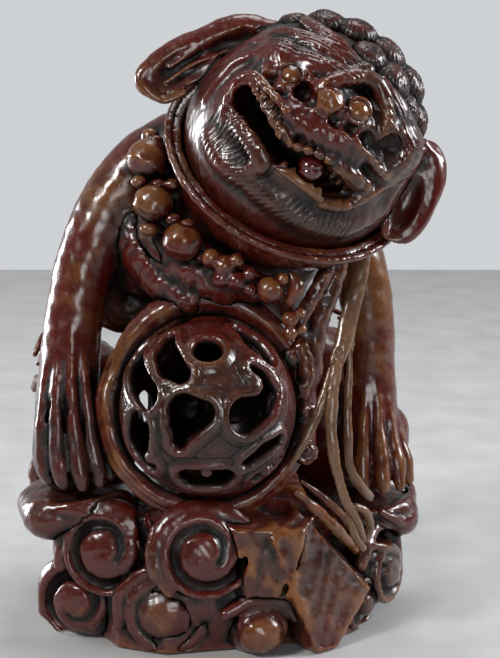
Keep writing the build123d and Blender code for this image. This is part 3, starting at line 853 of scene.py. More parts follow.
def carve_haunches(block):
    """Haunches, with a carved flame curl and a row of toes on each."""
    block.lump("haunch_right", (-27.6, 21.6, 45), (13.2, 16.0, 22), 4.0)
    block.lump("haunch_left", (33.4, 20.4, 45), (13.2, 16.0, 22), 4.0)
    for node, x, out in (("haunch_right", -39.6, -1), ("haunch_left", 45.6, 1)):
        block.spiral(node, (x, 20.5, 47), (0, -out, 0), (0, 0, 1), 10.5, 2.1, 1.5, 0.7, 0.6, dome=1.2)
        for i in range(4):
            block.bar(node, [(x + out * 0.5, 10.0 + 5.5 * i, 58 + 1.5 * i, 1.0),
                             (x - out * 3.0, 12.0 + 5.5 * i, 64 + i, 1.3),
                             (x - out * 7.0, 15.0 + 5.0 * i, 66.0 + i, 0.6)], 0.6)
    for node, x, out in (("haunch_right", -33.0, -1), ("haunch_left", 39.0, 1)):
        for i in range(4):
            block.bar(node, [(x + out * (5.5 - 2.6 * i), 30.0 + 1.6 * i, 37, 1.4),
                             (x + out * (6.6 - 2.9 * i), 32.6 + 1.8 * i, 30.5, 2.1),
                             (x + out * (6.8 - 3.0 * i), 32.4 + 2.0 * i, 27.0, 1.6)], 0.8)


def carve_tail(block):
    """A bushy tail up the back, in flame locks."""
    block.bar("tail", [(7, 30, 40, 5.4), (9, 33, 58, 7.6), (7.5, 31, 76, 8.0), (5.5, 27.5, 92, 5.6),
                       (3.5, 25, 104, 2.2)], 3.0)
    for i in range(7):
        x = -3.2 + 3.4 * i
        z = 44 + 3.0 * (i % 2)
        block.bar("tail", [(7 + 0.3 * (x - 7), 34.6, z, 1.3),
                           (x, 38.6 - 0.13 * (x - 7) ** 2 * 0.3, z + 14, 2.1),
                           (x + 0.8, 37.6 - 0.03 * (x - 7) ** 2, z + 28, 1.9),
                           (5.5 + 0.55 * (x - 6), 33.0, z + 42, 1.2),
                           (4.5 + 0.3 * (x - 6), 28.6, z + 53, 0.6)], 0.5)
    for z in (44, 49):
        block.spiral("tail", (8.5, 38.0, z), (-1, 0, 0), (0, 0, 1), 4.6, 1.6, 1.1, 0.5, 0.3 + z * 0.1,
                     dome=1.0)


def carve_spine(block):
    """A row of low knobs up the back."""
    for i in range(6):
        z = 60 + 8.0 * i
        y = 29.5 - 0.0045 * (z - 60) ** 2
        block.lump("torso", (6 - 0.02 * (z - 60), y, z), (2.6, 3.0, 3.4), 1.5)


def carve_collar(block):
    """A thin rim round the neck's cup."""
    across = unit(np.cross(NECK_AXIS, (0, 0, 1)))
    centre = HEAD_PIVOT - NECK_AXIS * COLLAR_SETBACK
    rim = ring(centre, across, np.cross(NECK_AXIS, across), COLLAR_RADIUS, 1.25, 48)
    block.bar("neck_collar", rim, 0.9, spans=1)


def carve_harness(block):
    """A strap with three round bells, each with a band and a slit, then rough beads and a pendant."""
    block.bar("harness_strap", [(-16, -2, 120, 2.0), (-15.5, -7, 106, 2.4), (-10, -12.5, 97.5, 2.4),
                                (-1.5, -16.4, 91, 2.2), (10, -17.6, 85, 2.0), (15, -17.0, 77, 1.8)], 0.6)
    for node, centre, radius in (("bell_1", (-17.6, -7.4, 115.2), 5.0),
                                 ("bell_2", (-17.4, -12.2, 105.6), 4.7),
                                 ("bell_3", (-11.6, -17.4, 97.2), 4.7)):
        block.lump(node, centre, radius, 0.25)
        centre = np.array(centre)
        facing = unit(centre - (0.0, 12.0, 100.0))
        side = unit(np.cross(facing, (0.3, 0, 1)))
        above = np.cross(side, facing)
        band = ring(centre - above * radius * 0.30, facing, side, radius * 0.93, 0.5, 24)
        block.bar(node, band, 0.2, spans=1)
        slit = centre - above * radius * 0.62
        block.groove([(*(slit + facing * radius * 0.75 - side * radius * 0.4), 0.35),
                      (*(slit + facing * radius * 0.80 + side * radius * 0.4), 0.35)], 0.2)
        loop = centre + above * radius * 0.95 + facing * 0.5
        block.lump("harness_strap", loop, (1.9, 1.5, 1.3), 0.5)
    for x, y, z, radius in ((-20.4, -10.8, 110.4, 1.5), (-13.0, -13.4, 110.0, 1.4),
                            (-13.4, -15.6, 102.0, 1.5), (-18.6, -13.6, 99.6, 1.8), (-6.8, -19.2, 93.6, 1.5)):
        block.lump("harness_strap", (x, y, z), (radius * 1.3, radius, radius), 0.4)
    block.lumps("bell_4", [(-5.6, -20.4, 93.4, 2.3), (-2.6, -21.6, 91.6, 2.5), (0.2, -22.4, 93.0, 1.8),
                           (-3.6, -21.8, 88.4, 2.0), (0.0, -23.0, 88.2, 2.3), (3.2, -23.0, 89.8, 1.7),
                           (3.0, -23.8, 86.2, 1.7)], 0.6)
    block.lump("bell_5", (7.4, -24.6, 86.0), 3.1, 0.3)
    block.lump("bell_5", (10.9, -24.2, 88.4), 1.7, 0.3)
    block.bar("harness_pendant", [(12.6, -24.6, 89.6, 0.8), (13.8, -25.2, 86.6, 1.9),
                                  (12.4, -25.0, 83.4, 1.4)], 0.4)
    block.lumps("harness_pendant", [(12.4, -24.6, 78.8, 2.0), (14.8, -24.8, 80.2, 1.5),
                                    (12.2, -24.8, 75.4, 1.8), (15.2, -24.4, 76.4, 1.3)], 0.5)


def carve_chest(block):
    """Folds between the arm and the ball, and small scrolls between the ball and the ribbons."""
    chest = "chest_scroll"
    block.bar(chest, [(-20.5, -1.0, 99, 4.2), (-16.5, -6.0, 90, 5.6), (-9.0, -10.6, 83.0, 5.8)], 2.0)
    block.bar(chest, [(-14.0, -8.4, 96, 4.2), (-8.0, -12.6, 89.5, 5.0), (-1.0, -15.2, 85.4, 4.6)], 1.0)
    block.bar(chest, [(-4.5, -15.4, 89.0, 3.6), (2.0, -17.4, 86.4, 3.8), (8.0, -17.6, 84.6, 3.0)], 0.7)
    block.groove([(-20.6, -8.6, 97.4, 0.4), (-17.4, -12.0, 91.0, 0.6), (-13.0, -15.2, 86.0, 0.6),
                  (-9.2, -17.0, 82.4, 0.4)], 0.4)
    block.groove([(-8.2, -18.4, 90.4, 0.3), (-5.6, -19.4, 86.4, 0.5), (-4.6, -19.4, 82.6, 0.3)], 0.4)
    block.bar(chest, [(24.5, -18.6, 93.0, 1.7), (21.0, -20.6, 86.6, 1.9), (17.2, -21.2, 80.6, 1.8),
                      (15.4, -21.6, 76.4, 1.4)], 0.6)
    block.bar(chest, [(28.0, -12.0, 92.0, 2.6), (25.4, -13.4, 84.0, 2.8), (22.0, -13.6, 74.0, 2.6),
                      (21.4, -12.6, 62.0, 2.2)], 1.0)
    block.bar(chest, [(16.6, -19.6, 71.0, 1.9), (17.6, -20.4, 65.0, 2.2), (16.6, -21.0, 59.6, 1.5)], 0.5)
    for x, y, z, r, turn in ((13.8, -20.6, 68.6, 2.2, 0.4), (15.0, -21.4, 61.4, 2.0, 2.0),
                             (16.6, -22.6, 55.6, 2.4, 3.2), (16.4, -25.4, 46.4, 3.2, 1.0)):
        block.lump(chest, (x, y + 0.9, z), (r, 1.6, r), 0.6)
        block.spiral(chest, (x, y - 0.2, z), (1, 0.2, 0), (0, 0, 1), r, 1.5, 0.65, 0.3, turn, dome=0.8)
    block.bar(chest, [(17.0, -12.0, 76.0, 3.0), (19.0, -12.0, 60.0, 3.4), (18.5, -14.0, 46.0, 3.4)], 2.0)


# the bands round the ball, as (degrees round it, distance from its middle, thickness, distance behind it)
CRADLE_RING = [(150, 24.0, 1.8, 6.0), (165, 23.9, 1.9, 4.0), (180, 23.9, 2.0, 2.6), (210, 23.9, 2.2, 1.4),
               (240, 24.0, 2.4, 0.8), (270, 24.0, 2.4, 1.0), (300, 23.8, 2.2, 2.0), (330, 23.4, 1.9, 4.0),
               (345, 23.2, 1.8, 5.2), (360, 23.2, 1.7, 6.4)]
CRADLE_ARCH = [(160, 22.8, 1.2, 4.0), (140, 24.0, 1.8, 3.0), (120, 25.0, 2.4, 2.2), (100, 25.4, 2.7, 2.0),
               (80, 25.2, 2.6, 2.0), (62, 24.6, 2.2, 2.6), (44, 23.8, 1.7, 3.6), (26, 23.0, 1.3, 5.0)]


def round_ball(rows, grow=0.0, share=1.0, further_back=0.0):
    """A band round the ball, moved out by grow, thinned to a share and moved further back."""
    band = []
    for degrees, radius, thick, back in rows:
        angle = math.radians(degrees)
        reach = radius + grow
        local = np.array([reach * math.cos(angle), back + further_back, reach * math.sin(angle)])
        band.append((*(BALL_AXES @ local + BALL_CENTRE), thick * share))
    return band


def carve_cradle(block):
    """The bands that hold the ball: three strands beside and below it, an arch with two edges above."""
    cradle = "ball_cradle"
    block.bar(cradle, [(-4, -2, 50, 13.0), (-3.5, -2, 66, 13.0)], 2.0)
    for grow, share, further_back in ((-1.5, 0.62, 0.4), (0.0, 0.70, 0.0), (1.5, 0.62, 1.2)):
        block.bar(cradle, round_ball(CRADLE_RING, grow, share, further_back), 0.5, spans=4)
    arch = round_ball(CRADLE_ARCH)
    block.bar(cradle, arch, 1.0, spans=3)
    for grow in (-1.9, 1.9):
        edge = []
        for x, y, z, radius in arch:
            out = unit((x, y, z) - BALL_CENTRE)
            edge.append((*((x, y, z) + out * grow), radius * 0.55))
        block.bar(cradle, edge, 0.5, spans=3)


def carve_ribbons(block):
    """Flat strands from the collar to the rocks, and their knot."""
    fork = (23.4, -25.9, 68.0)
    flat = (unit((-0.237, -0.949, 0.208)), 0.55)
    block.bar("ribbon_outer", [(33.4, -17.0, 97.0, 1.6), (31.0, -19.6, 88.0, 1.9), (27.6, -22.4, 78.6, 2.2),
                               (25.2, -24.6, 72.0, 2.2), (*fork, 1.8)], 0.5, flat=flat)
    block.bar("ribbon_right", [(24.0, -25.4, 69.5, 1.3), (20.4, -27.8, 61.6, 1.5), (17.0, -29.4, 55.0, 1.3),
                               (14.2, -30.4, 50.4, 1.15), (11.4, -30.4, 45.6, 0.8)], 0.4, flat=flat)
    block.bar("ribbon_middle", [(24.2, -25.6, 70.5, 1.3), (21.8, -28.4, 62.0, 1.6), (21.0, -30.2, 54.0, 1.5),
                                (21.6, -31.6, 45.4, 1.4), (23.4, -32.4, 38.0, 1.2), (26.4, -32.0, 31.6, 1.3),
                                (29.0, -29.6, 25.6, 1.2)], 0.4, flat=flat)
    block.bar("ribbon_left", [(28.6, -21.6, 78.5, 0.7), (27.2, -23.6, 66.0, 1.0), (26.4, -25.6, 54.0, 1.1),
                              (26.6, -27.0, 43.0, 1.2), (29.4, -26.6, 38.0, 1.3),
                              (32.4, -24.0, 34.4, 1.4)], 0.4, flat=flat)
    block.bars("ribbon_knot", [
        [(26.8, -31.2, 34.4, 0.9), (29.6, -30.6, 32.6, 1.0), (31.4, -28.6, 28.4, 1.1),
         (30.2, -28.4, 24.8, 0.9)],
        [(24.6, -32.0, 33.0, 0.8), (26.2, -32.4, 27.8, 1.0), (28.8, -31.0, 23.8, 1.1)]], 0.4)


def make_room(block):
    """The cup ends at the collar; then room in it for the head, and for the ball in its cradle."""
    view, near_head = block.oval(HEAD_PIVOT, (HEAD_RADIUS + CUP_THICKNESS,) * 3)
    x, y, z = block.places(view)
    ahead = ((x - np.float32(HEAD_PIVOT[0])) * NECK_AXIS[0] + (y - np.float32(HEAD_PIVOT[1])) * NECK_AXIS[1]
             + (z - np.float32(HEAD_PIVOT[2])) * NECK_AXIS[2] + COLLAR_SETBACK)
    block.field[view] = carve(block.field[view], np.maximum(near_head, 0.8 - ahead).astype(np.float32), 0.5)
    block.scoop(HEAD_PIVOT, HEAD_RADIUS + HEAD_GAP, 0.3)
    block.scoop(BALL_CENTRE, BALL_ROOM, 0.3)


def carve_body():
    """Torso, limbs, tail, collar, harness, chest, cradle and ribbons."""
    block = Block((-51, -43, 20), (55, 45, 138), COARSE)
    for carve_part in (carve_torso, carve_forelegs, carve_haunches, carve_tail, carve_spine, carve_collar,
                       carve_harness, carve_chest, carve_cradle, carve_ribbons, make_room):
        carve_part(block)
    block.relief.append(body_relief)
    block.shade.append(body_shade)
    return block


ARM_WEAR = [(-27.0, -4.0, 105.0, 8.0, 0.24), (-36.0, -7.0, 86.0, 9.0, 0.20), (36.0, -6.0, 78.0, 9.0, 0.12)]


def body_shade(spots, node):
    """Painted shade round the ball and on torso and chest; ribbons, arms and bell tops rubbed; bells painted
    light on top, shaded below.
    """
    from_ball = np.linalg.norm(spots - BALL_CENTRE, axis=1)
    # painted shade on the cradle and body close round the ball
    dark = -0.9 * np.clip((23.6 - from_ball) / 1.5, 0, 1)
    # painted shade over the torso and chest, behind the ball, between the limbs and under the head
    if node in ("torso", "chest_scroll"):
        dark = dark - 0.12
    if node.startswith("ribbon"):
        dark = dark + 0.28
    if node.startswith("foreleg"):
        dark = dark + rubbed(spots, ARM_WEAR)
    if node == "neck_collar":
        dark = dark - 0.16
    if node == "foreleg_left":
        front = np.clip((5.0 - spots[:, 1]) / 6.0, 0, 1)
        dark = dark + 0.20 * front * np.clip((98.0 - spots[:, 2]) / 12.0, 0, 1)
    # bells painted lighter on top and darker underneath: painted light and shade over the rubbed amber of
    # their tops
    if node.startswith("bell"):
        dark = dark + 0.04 + 0.30 * np.clip((spots[:, 2] - middle(node)[2]) / 4.0, -1, 1)
    if node == "foreleg_right":
        dark = dark - 0.50 * np.clip((66.0 - spots[:, 2]) / 12.0, 0, 1)
    return dark


def body_relief(spots, node):
    """Knife marks, and strands of hair on the tail, the haunches, the back and the forelegs."""
    push = knife_marks(spots * 0.45, 0.16)
    if node.startswith("bell") or node == "neck_collar":
        push = knife_marks(spots * 0.8, 0.14)
    if node == "chest_scroll":
        push += knife_marks(spots * 1.1, 0.28)
    if node == "tail":
        push += 0.45 * strand_profile((spots[:, 0] + 0.8 * np.sin(0.12 * spots[:, 2])) / 1.5)
    if node.startswith("haunch"):
        wide = np.clip((spots[:, 1] - 15.0) / 6.0, 0, 1)
        bent = 0.30 * (spots[:, 2] - 45.0) + 1.4 * np.sin(0.22 * spots[:, 2])
        push += wide * (0.42 * strand_profile((np.abs(spots[:, 0]) + bent) / 2.4))
    if node == "torso":
        wide = np.clip((spots[:, 1] - 14.0) / 6.0, 0, 1) * np.clip((96.0 - spots[:, 2]) / 8.0, 0, 1)
        push += wide * (0.40 * strand_profile((spots[:, 2] * 0.8 - 0.5 * np.abs(spots[:, 0] - 6.0)) / 3.2))
    if node in ("foreleg_right", "foreleg_left"):
        wide = np.clip((spots[:, 1] - 2.0) / 4.0, 0, 1)
        push += wide * (0.25 * strand_profile((spots[:, 2] * 0.35 + spots[:, 1]) / 1.9))
    return push


# ---------------------------------------------------------------- pierced ball

# outlines on the front of the ball: rows of (across, up, radius) in millimetres from its middle
BALL_HOLES = [
    [(0.3, 14.6, 3.1)],
    [(-9.0, 17.4, 1.0), (-10.0, 14.2, 2.4), (-8.6, 10.8, 2.9), (-6.0, 8.8, 2.0)],
    [(-15.6, 16.4, 1.4), (-17.4, 12.2, 2.6), (-16.8, 7.0, 3.0), (-14.4, 3.6, 3.0)],
    [(-16.6, -4.4, 3.6), (-17.0, -8.6, 3.6), (-14.4, -12.6, 2.4)],
    [(-5.4, 0.2, 3.4), (-0.8, -0.6, 2.6), (-5.4, -3.6, 3.2), (-6.6, -7.6, 1.5)],
    [(9.8, -1.2, 3.9), (13.8, 0.6, 2.6), (15.6, 4.4, 2.0), (14.0, 8.2, 1.2), (11.4, 10.0, 0.8)],
    [(8.0, 19.0, 1.4), (11.6, 16.0, 3.1), (14.6, 12.8, 2.2)],
    [(-3.4, -16.6, 3.0), (3.2, -16.6, 3.0)],
    [(9.6, -12.6, 1.0), (13.6, -9.6, 1.6), (17.2, -7.4, 1.2)],
    [(12.2, -16.2, 1.4), (16.4, -12.8, 1.3)],
]
BALL_KNOBS = [(-12.6, -10.8, 1.7), (0.0, -14.0, 1.4), (13.2, -14.2, 1.7), (10.6, 5.6, 1.6)]
# fine raised lines that run round every hole: distance from its edge, width, height
RIM_LINES = [(1.15, 0.30, 0.38), (2.3, 0.30, 0.34), (3.4, 0.30, 0.30), (0.35, 0.16, 0.14), (4.5, 0.30, 0.26)]


def lift_to_ball(x, y, radius):
    """Point on the front of a ball from its place across and up."""
    reach = math.hypot(x, y)
    if reach > 0.985 * radius:
        x, y = x * 0.985 * radius / reach, y * 0.985 * radius / reach
    return np.array([x, -math.sqrt(radius ** 2 - x * x - y * y), y])


def hole_outlines():
    """Every hole as rows of (x, y, z, radius): the front pattern, then round holes over the back."""
    outlines = []
    for hole in BALL_HOLES:
        outlines.append([(*lift_to_ball(x, y, BALL_RADIUS), radius * 1.12 + 0.15) for x, y, radius in hole])
    for latitude, count, first in ((0, 4, 36), (44, 4, 30), (-44, 4, 36)):
        level = math.radians(latitude)
        for i in range(count):
            angle = math.radians(first + (180 - 2 * first) * i / (count - 1))
            way = (math.cos(level) * math.cos(angle), math.cos(level) * math.sin(angle), math.sin(level))
            outlines.append([(*(BALL_RADIUS * np.array(way)), 4.2)])
    for z in (20.9, -20.9):
        outlines.append([(0.0, 6.0, z, 3.6)])
    return outlines


def distance_to_outline(spots, rows):
    """Distance from places on the ball to the edge of one hole."""
    rows = np.array(rows if len(rows) > 1 else rows * 2)
    best = np.full(len(spots), FAR, np.float32)
    for a, b in zip(rows[:-1], rows[1:]):
        run = (b[:3] - a[:3]).astype(np.float32)
        offset = spots - a[:3].astype(np.float32)
        along = np.clip(offset @ run / (float(run @ run) + 1e-6), 0, 1)
        beside = np.sqrt(((offset - along[:, None] * run) ** 2).sum(1))
        best = np.minimum(best, beside - (a[3] + (b[3] - a[3]) * along))
    return best


def carve_ball():
    """A hollow ball, pierced, with a rounded edge and fine raised lines round each hole."""
    node = "brocade_ball"
    block = Block((-24, -24, -24), (24, 24, 24), FINE, BALL_PLACE)
    axis = block.low[0] + block.step * np.arange(block.size[0])
    x, y, z = np.meshgrid(axis, axis, axis, indexing="ij")
    radius = np.sqrt(x * x + y * y + z * z)
    band = (radius > 16.0) & (radius < 23.4)
    spots = np.stack([x[band], y[band], z[band]], 1).astype(np.float32)
    away = radius[band].astype(np.float32)
    on_ball = spots / away[:, None] * np.float32(BALL_RADIUS)
    edge = np.full(len(on_ball), FAR, np.float32)
    for rows in hole_outlines():
        edge = np.minimum(edge, distance_to_outline(on_ball, rows))
    rounding = np.clip(1.1 - edge, 0, 1.1) ** 2 * 0.55
    dip = np.clip(edge - 1.5, 0, 1.6) * 0.60
    lines = 0.0
    for distance, width, height in RIM_LINES:
        lines = lines + np.exp(-((edge - distance) / width) ** 2) * height
    outside = away - (BALL_RADIUS - 0.1 - rounding - dip - lines)
    inside = (BALL_RADIUS - BALL_WALL + rounding) - away
    block.field[band] = carve(np.maximum(outside, inside), edge, 0.9)
    block.nodes.append(node)
    block.owner[:] = 0
    block.first[:] = block.field
    for x, y, radius in BALL_KNOBS:
        block.lump(node, lift_to_ball(x, y, BALL_RADIUS - 1.6), radius, 0.8)
    block.shade.append(ball_shade)
    return block


def ball_shade(spots, node):
    """Painted shade inside the hollow ball; outside rubbed most near the top."""
    out = np.linalg.norm(spots, axis=1)
    # painted shade on the inner wall of the ball; the rest is wear, most near the top
    return -1.0 * np.clip((20.6 - out) / 1.2, 0, 1) - 0.40 + 0.20 * np.clip(spots[:, 2] / 12.0, -0.5, 1)


# ---------------------------------------------------------------- rockwork base

def facing_axes(facing):
    """Side, outward and upward directions of something that faces this way."""
    facing = unit(facing)
    side = unit(np.cross(facing, (0, 0, 1)))
    return side, facing, np.cross(side, facing)


def trail(block, node, centre, side, facing, top, tail):
    """The cloud's tail: a smooth lobe that runs beside a cloud head."""
    block.bar(node, [(*(centre + side * x + top * z + facing * 0.2), r) for x, z, r in tail], 1.6)


def cloud(block, node, centre, radius, facing, start=0.0, turns=1.15, tail=()):
    """A cloud head: a smooth dome with a spiral valley wound into it, and a low lip along the valley."""
    side, facing, top = facing_axes(facing)
    centre = np.asarray(centre, float)
    sunk, proud = 2.4, 7.2
    block.lump(node, centre - facing * sunk, (radius, proud, radius), 1.6, np.stack([side, facing, top], 1))
    if tail:
        trail(block, node, centre, side, facing, top, tail)
    valley, lip = [], []
    for i in range(29):
        t = i / 28
        angle = start + turns * math.tau * t
        reach = radius * (0.94 - 0.56 * t ** 0.9)
        lift = proud * math.sqrt(1.0 - (reach / radius) ** 2) - sunk
        way = side * math.cos(angle) + top * math.sin(angle)
        valley.append((*(centre + way * reach + facing * (lift + 0.2)), 1.5 - 0.6 * t))
        lip.append((*(centre + way * (reach + 1.9) + facing * (lift - 0.9)),
                    1.1 * math.sin(math.pi * min(1.0, 0.15 + 0.85 * t))))
    block.bar(node, lip[:24], 1.4, spans=1)
    block.groove(valley, 1.2, spans=1)


def disc(block, node, centre, radius, facing, start=0.0, turns=1.0, thick=1.9, core=0.62, shift=(0, 0),
         tail=()):
    """The flat end of a rolled cloud: a disc with a rounded rim rolled round it."""
    side, facing, top = facing_axes(facing)
    turn = np.stack([side, facing, top], 1)
    centre = np.asarray(centre, float)
    block.lump(node, centre - facing * 4.5, (radius, 7.0, radius), 1.6, turn)
    if tail:
        trail(block, node, centre, side, facing, top, tail)
    rim = []
    for i in range(25):
        t = i / 24
        angle = start + turns * math.tau * t
        reach = radius * (0.88 - 0.24 * max(0.0, t - 0.6) / 0.4)
        way = side * math.cos(angle) + top * math.sin(angle)
        rim.append((*(centre + way * reach + facing * (0.2 + 0.9 * t)),
                    thick * (0.55 + 0.45 * math.sin(math.pi * min(1.0, t * 1.1)))))
    block.bar(node, rim, 1.2, spans=1)
    place = centre + facing * 0.4 + side * shift[0] + top * shift[1]
    block.lump(node, place, (radius * core, 4.2, radius * core * 0.92), 0.7, turn)


def carve_rocks(block):
    """The round base with faceted rocks in the middle of its front."""
    rock = "rock_base"
    block.lump(rock, (0, 3, 12), (36.5, 33.5, 22), 0)
    block.planes(rock, [(-32, -26, 0), (34, 34, 25), ((-31, 0, 10), (-1, -0.25, 0.1)),
                        ((-22, -22, 10), (-0.75, -1, 0.1)), ((24, -23, 10), (0.8, -1, 0.2)),
                        ((33, 0, 10), (1, -0.3, 0.2)), ((24, 26, 10), (1, 1, 0.15)),
                        ((-24, 26, 10), (-1, 1, 0.15))], 3.0, 1.5)
    block.planes(rock, [(-5, -36, 9), (17, -12, 38), ((5.0, -33.2, 22), (-0.08, -1, 0.04)),
                        ((-2.6, -30, 24), (-1, -0.5, -0.15)), ((14.6, -30.5, 24), (0.75, -0.6, -0.15)),
                        ((6.0, -32.6, 30.2), (0.02, -0.42, 1)),
                        ((5.0, -32.6, 14.0), (-0.1, -0.8, -1))], 0.8, 0.4)
    block.planes(rock, [(6, -40, 0), (40, 0, 40), ((18.0, -31.0, 15.0), (0.46, -0.86, 0.20)),
                        ((15.8, -29.4, 30.0), (0.66, -0.06, 0.56)), ((9.6, -32.0, 16), (-0.9, -0.35, -0.32)),
                        ((12.0, -26.0, 33.0), (-0.5, -0.2, 1)), ((31.0, -24.0, 9.0), (0.80, -0.35, -0.50))],
                 0.9, 0.5)
    ridge = [(15.6, -29.9, 29.6, 0.7), (20.4, -26.2, 23.6, 0.9), (26.4, -21.6, 16.6, 1.0),
             (32.4, -15.8, 8.6, 0.8)]
    block.bar(rock, ridge, 0.5)
    # cracks down the rocks, and ridges beside the ribbons
    for crack in ([(13.9, -31.6, 28.6, 0.5), (12.4, -32.0, 23.0, 0.9), (9.6, -33.2, 17.0, 0.9),
                   (7.6, -33.4, 12.6, 0.5)],
                  [(4.4, -33.6, 28.6, 0.2), (3.2, -33.8, 22.0, 0.5), (2.8, -33.6, 17.0, 0.3)]):
        block.groove(crack, 0.9)
    block.bars(rock, [
        [(12.4, -30.6, 38.6, 0.8), (17.8, -28.6, 33.6, 1.3), (24.2, -25.0, 27.0, 1.4),
         (31.4, -18.6, 18.4, 0.9)],
        [(14.6, -28.4, 40.4, 0.7), (20.8, -26.4, 35.0, 1.2), (27.6, -22.4, 27.6, 1.3),
         (34.0, -16.4, 18.6, 0.8)]], 0.5)


def carve_ledges(block):
    """A ledge under each paw, with folded cloud rims."""
    for node, x, y, z, start, stop in (("paw_ledge_right", -34.5, 0.5, 31.0, 185, 300),
                                       ("paw_ledge_left", 36.5, 0.5, 25.0, 235, 370)):
        block.lump(node, (x, y, z - 0.6), (14.4, 15.4, 6.6), 2.0)
        for reach, lift, thick in ((14.2, 4.6, 0.95), (14.6, 2.9, 1.0), (14.7, 1.0, 0.95)):
            rim = []
            for i in range(9):
                t = i / 8
                angle = math.radians(start + (stop - start) * (0.25 + 0.75 * t))
                radius = reach - 1.2 * (1 - t)
                rim.append((x + radius * math.cos(angle), y + radius * math.sin(angle) * 1.06,
                            z + 2.0 + (lift - 2.0) * t, thick * (0.5 + 0.5 * t)))
            block.bar(node, rim, 0.6)
    block.lump("paw_ledge_right", (-42.0, -5.6, 29.6), (6.6, 7.6, 5.6), 2.0)
    block.lump("paw_ledge_left", (45.0, -6.6, 23.6), (5.4, 6.4, 5.0), 1.5)
    block.bar("paw_ledge_left", [(38.0, -15.6, 27.6, 0.9), (43.0, -13.6, 24.4, 1.2), (47.4, -9.0, 21.0, 1.3),
                                 (49.0, -3.0, 20.4, 1.0)], 0.6)


def carve_clouds(block):
    """Seven cloud scrolls round the front, and plainer ones in the rock's own wood round the back."""
    cloud(block, "scroll_side_upper", (-30.0, -15.4, 23.4), 11.2, (-0.50, -1, 0.22), 2.4, 1.20,
          [(-9.6, 4.6, 2.0), (-2.0, 8.8, 3.0), (6.5, 8.0, 3.0), (10.8, 2.4, 2.0), (11.4, -5.0, 1.4)])
    cloud(block, "scroll_side_lower", (-35.2, -8.6, 8.8), 9.8, (-0.76, -1, 0.05), 4.6, 1.10,
          [(-4.0, 8.6, 2.0), (3.4, 8.6, 2.4), (9.0, 4.4, 2.2), (9.6, -4.0, 1.8)])
    cloud(block, "scroll_front_upper", (-9.6, -28.8, 25.0), 10.6, (-0.12, -1, 0.26), 2.9, 1.15,
          [(-11.4, 4.6, 1.8), (-5.0, 9.0, 2.6), (3.6, 9.2, 3.0), (9.6, 5.0, 2.8), (11.4, -3.0, 2.2),
           (8.0, -9.0, 1.4)])
    disc(block, "scroll_front_lower", (-17.0, -24.4, 9.6), 10.2, (-0.34, -1, 0.06), 2.9, 0.95, 1.7, 0.66,
         (1.0, -0.6),
         [(-11.0, 1.0, 1.3), (-5.0, 8.4, 1.5), (5.0, 9.4, 1.5), (11.6, 4.0, 1.4), (12.0, -4.0, 1.2)])
    disc(block, "scroll_front_foot", (3.4, -32.2, 5.4), 6.4, (0.04, -1, 0.10), 0.4, 0.65, 1.2, 0.86, (0, 0),
         [(-8.4, 3.0, 1.3), (-5.0, 7.0, 1.8), (2.0, 7.8, 1.8), (8.4, 5.0, 1.5)])
    cloud(block, "scroll_corner", (31.0, -18.5, 6.5), 6.0, (0.70, -0.8, 0.05), 3.6, 1.0)
    cloud(block, "scroll_side_left", (38.6, -12.6, 12.6), 9.6, (0.85, -0.75, 0.05), 1.0, 1.2,
          [(-10.4, 3.6, 1.5), (-4.0, 9.0, 1.8), (4.6, 9.4, 1.9), (10.6, 3.6, 1.6)])
    for lift in (0.0, 3.2, 6.4):
        block.bar("scroll_side_left", [(33.6, -19.0, 20.6 - lift, 0.7), (39.0, -16.4, 18.6 - lift, 1.1),
                                       (44.0, -10.0, 14.6 - lift, 1.2), (46.0, -4.0, 10.6 - lift, 0.8)], 1.0)
    for i, degrees in enumerate((20, 52, 84, 112, 140, 165)):
        across, back = math.cos(math.radians(degrees)), math.sin(math.radians(degrees))
        height, radius = (17.5, 9.4) if i % 2 else (8.8, 8.4)
        centre = (35.0 * across, 3 + 33.0 * back, height)
        cloud(block, "rock_base", centre, radius, (across, back, 0.1), 0.5 + 1.7 * i, 1.1)


def carve_base():
    """Rocks, ledges and cloud scrolls, cut flat underneath."""
    block = Block((-53, -46, -2), (57, 46, 42), COARSE)
    for carve_part in (carve_rocks, carve_ledges, carve_clouds):
        carve_part(block)
    heights = block.low[2] + block.step * np.arange(block.size[2])
    block.field = np.maximum(block.field, -heights[None, None, :].astype(np.float32))
    block.relief.append(base_relief)
    block.shade.append(base_shade)
    return block


CLOUD_WEAR = [(-37.5, -14.0, 9.0, 5.0, 0.42), (-18.5, -29.0, 9.6, 6.0, 0.42), (3.5, -37.0, 5.6, 5.5, 0.50),
              (-33.0, -21.0, 24.0, 4.5, 0.30), (-10.5, -35.0, 26.0, 5.0, 0.25),
              (-10.0, -30.0, 34.0, 6.0, 0.25)]


def base_shade(spots, node):
    """The rocks are rubbed more than the cloud scrolls, apart from the scrolls that stick out most."""
    if node == "rock_base":
        return 0.05 * (spots[:, 1] < -12)
    return rubbed(spots, CLOUD_WEAR) - 0.20


def base_relief(spots, node):
    """Knife marks, deeper on the rocks and none at the flat underside."""
    push = knife_marks(spots * 0.8, 0.14)
    if node == "rock_base":
        push = push + knife_marks(spots[:, [1, 2, 0]] * 0.36, 0.30)
    return push * np.clip((spots[:, 2] - 0.6) / 1.0, 0, 1)


# ---------------------------------------------------------------- finishes

# fineness of the grain along x, y and z: the fibres run upwards
GRAIN = (900.0, 900.0, 140.0)


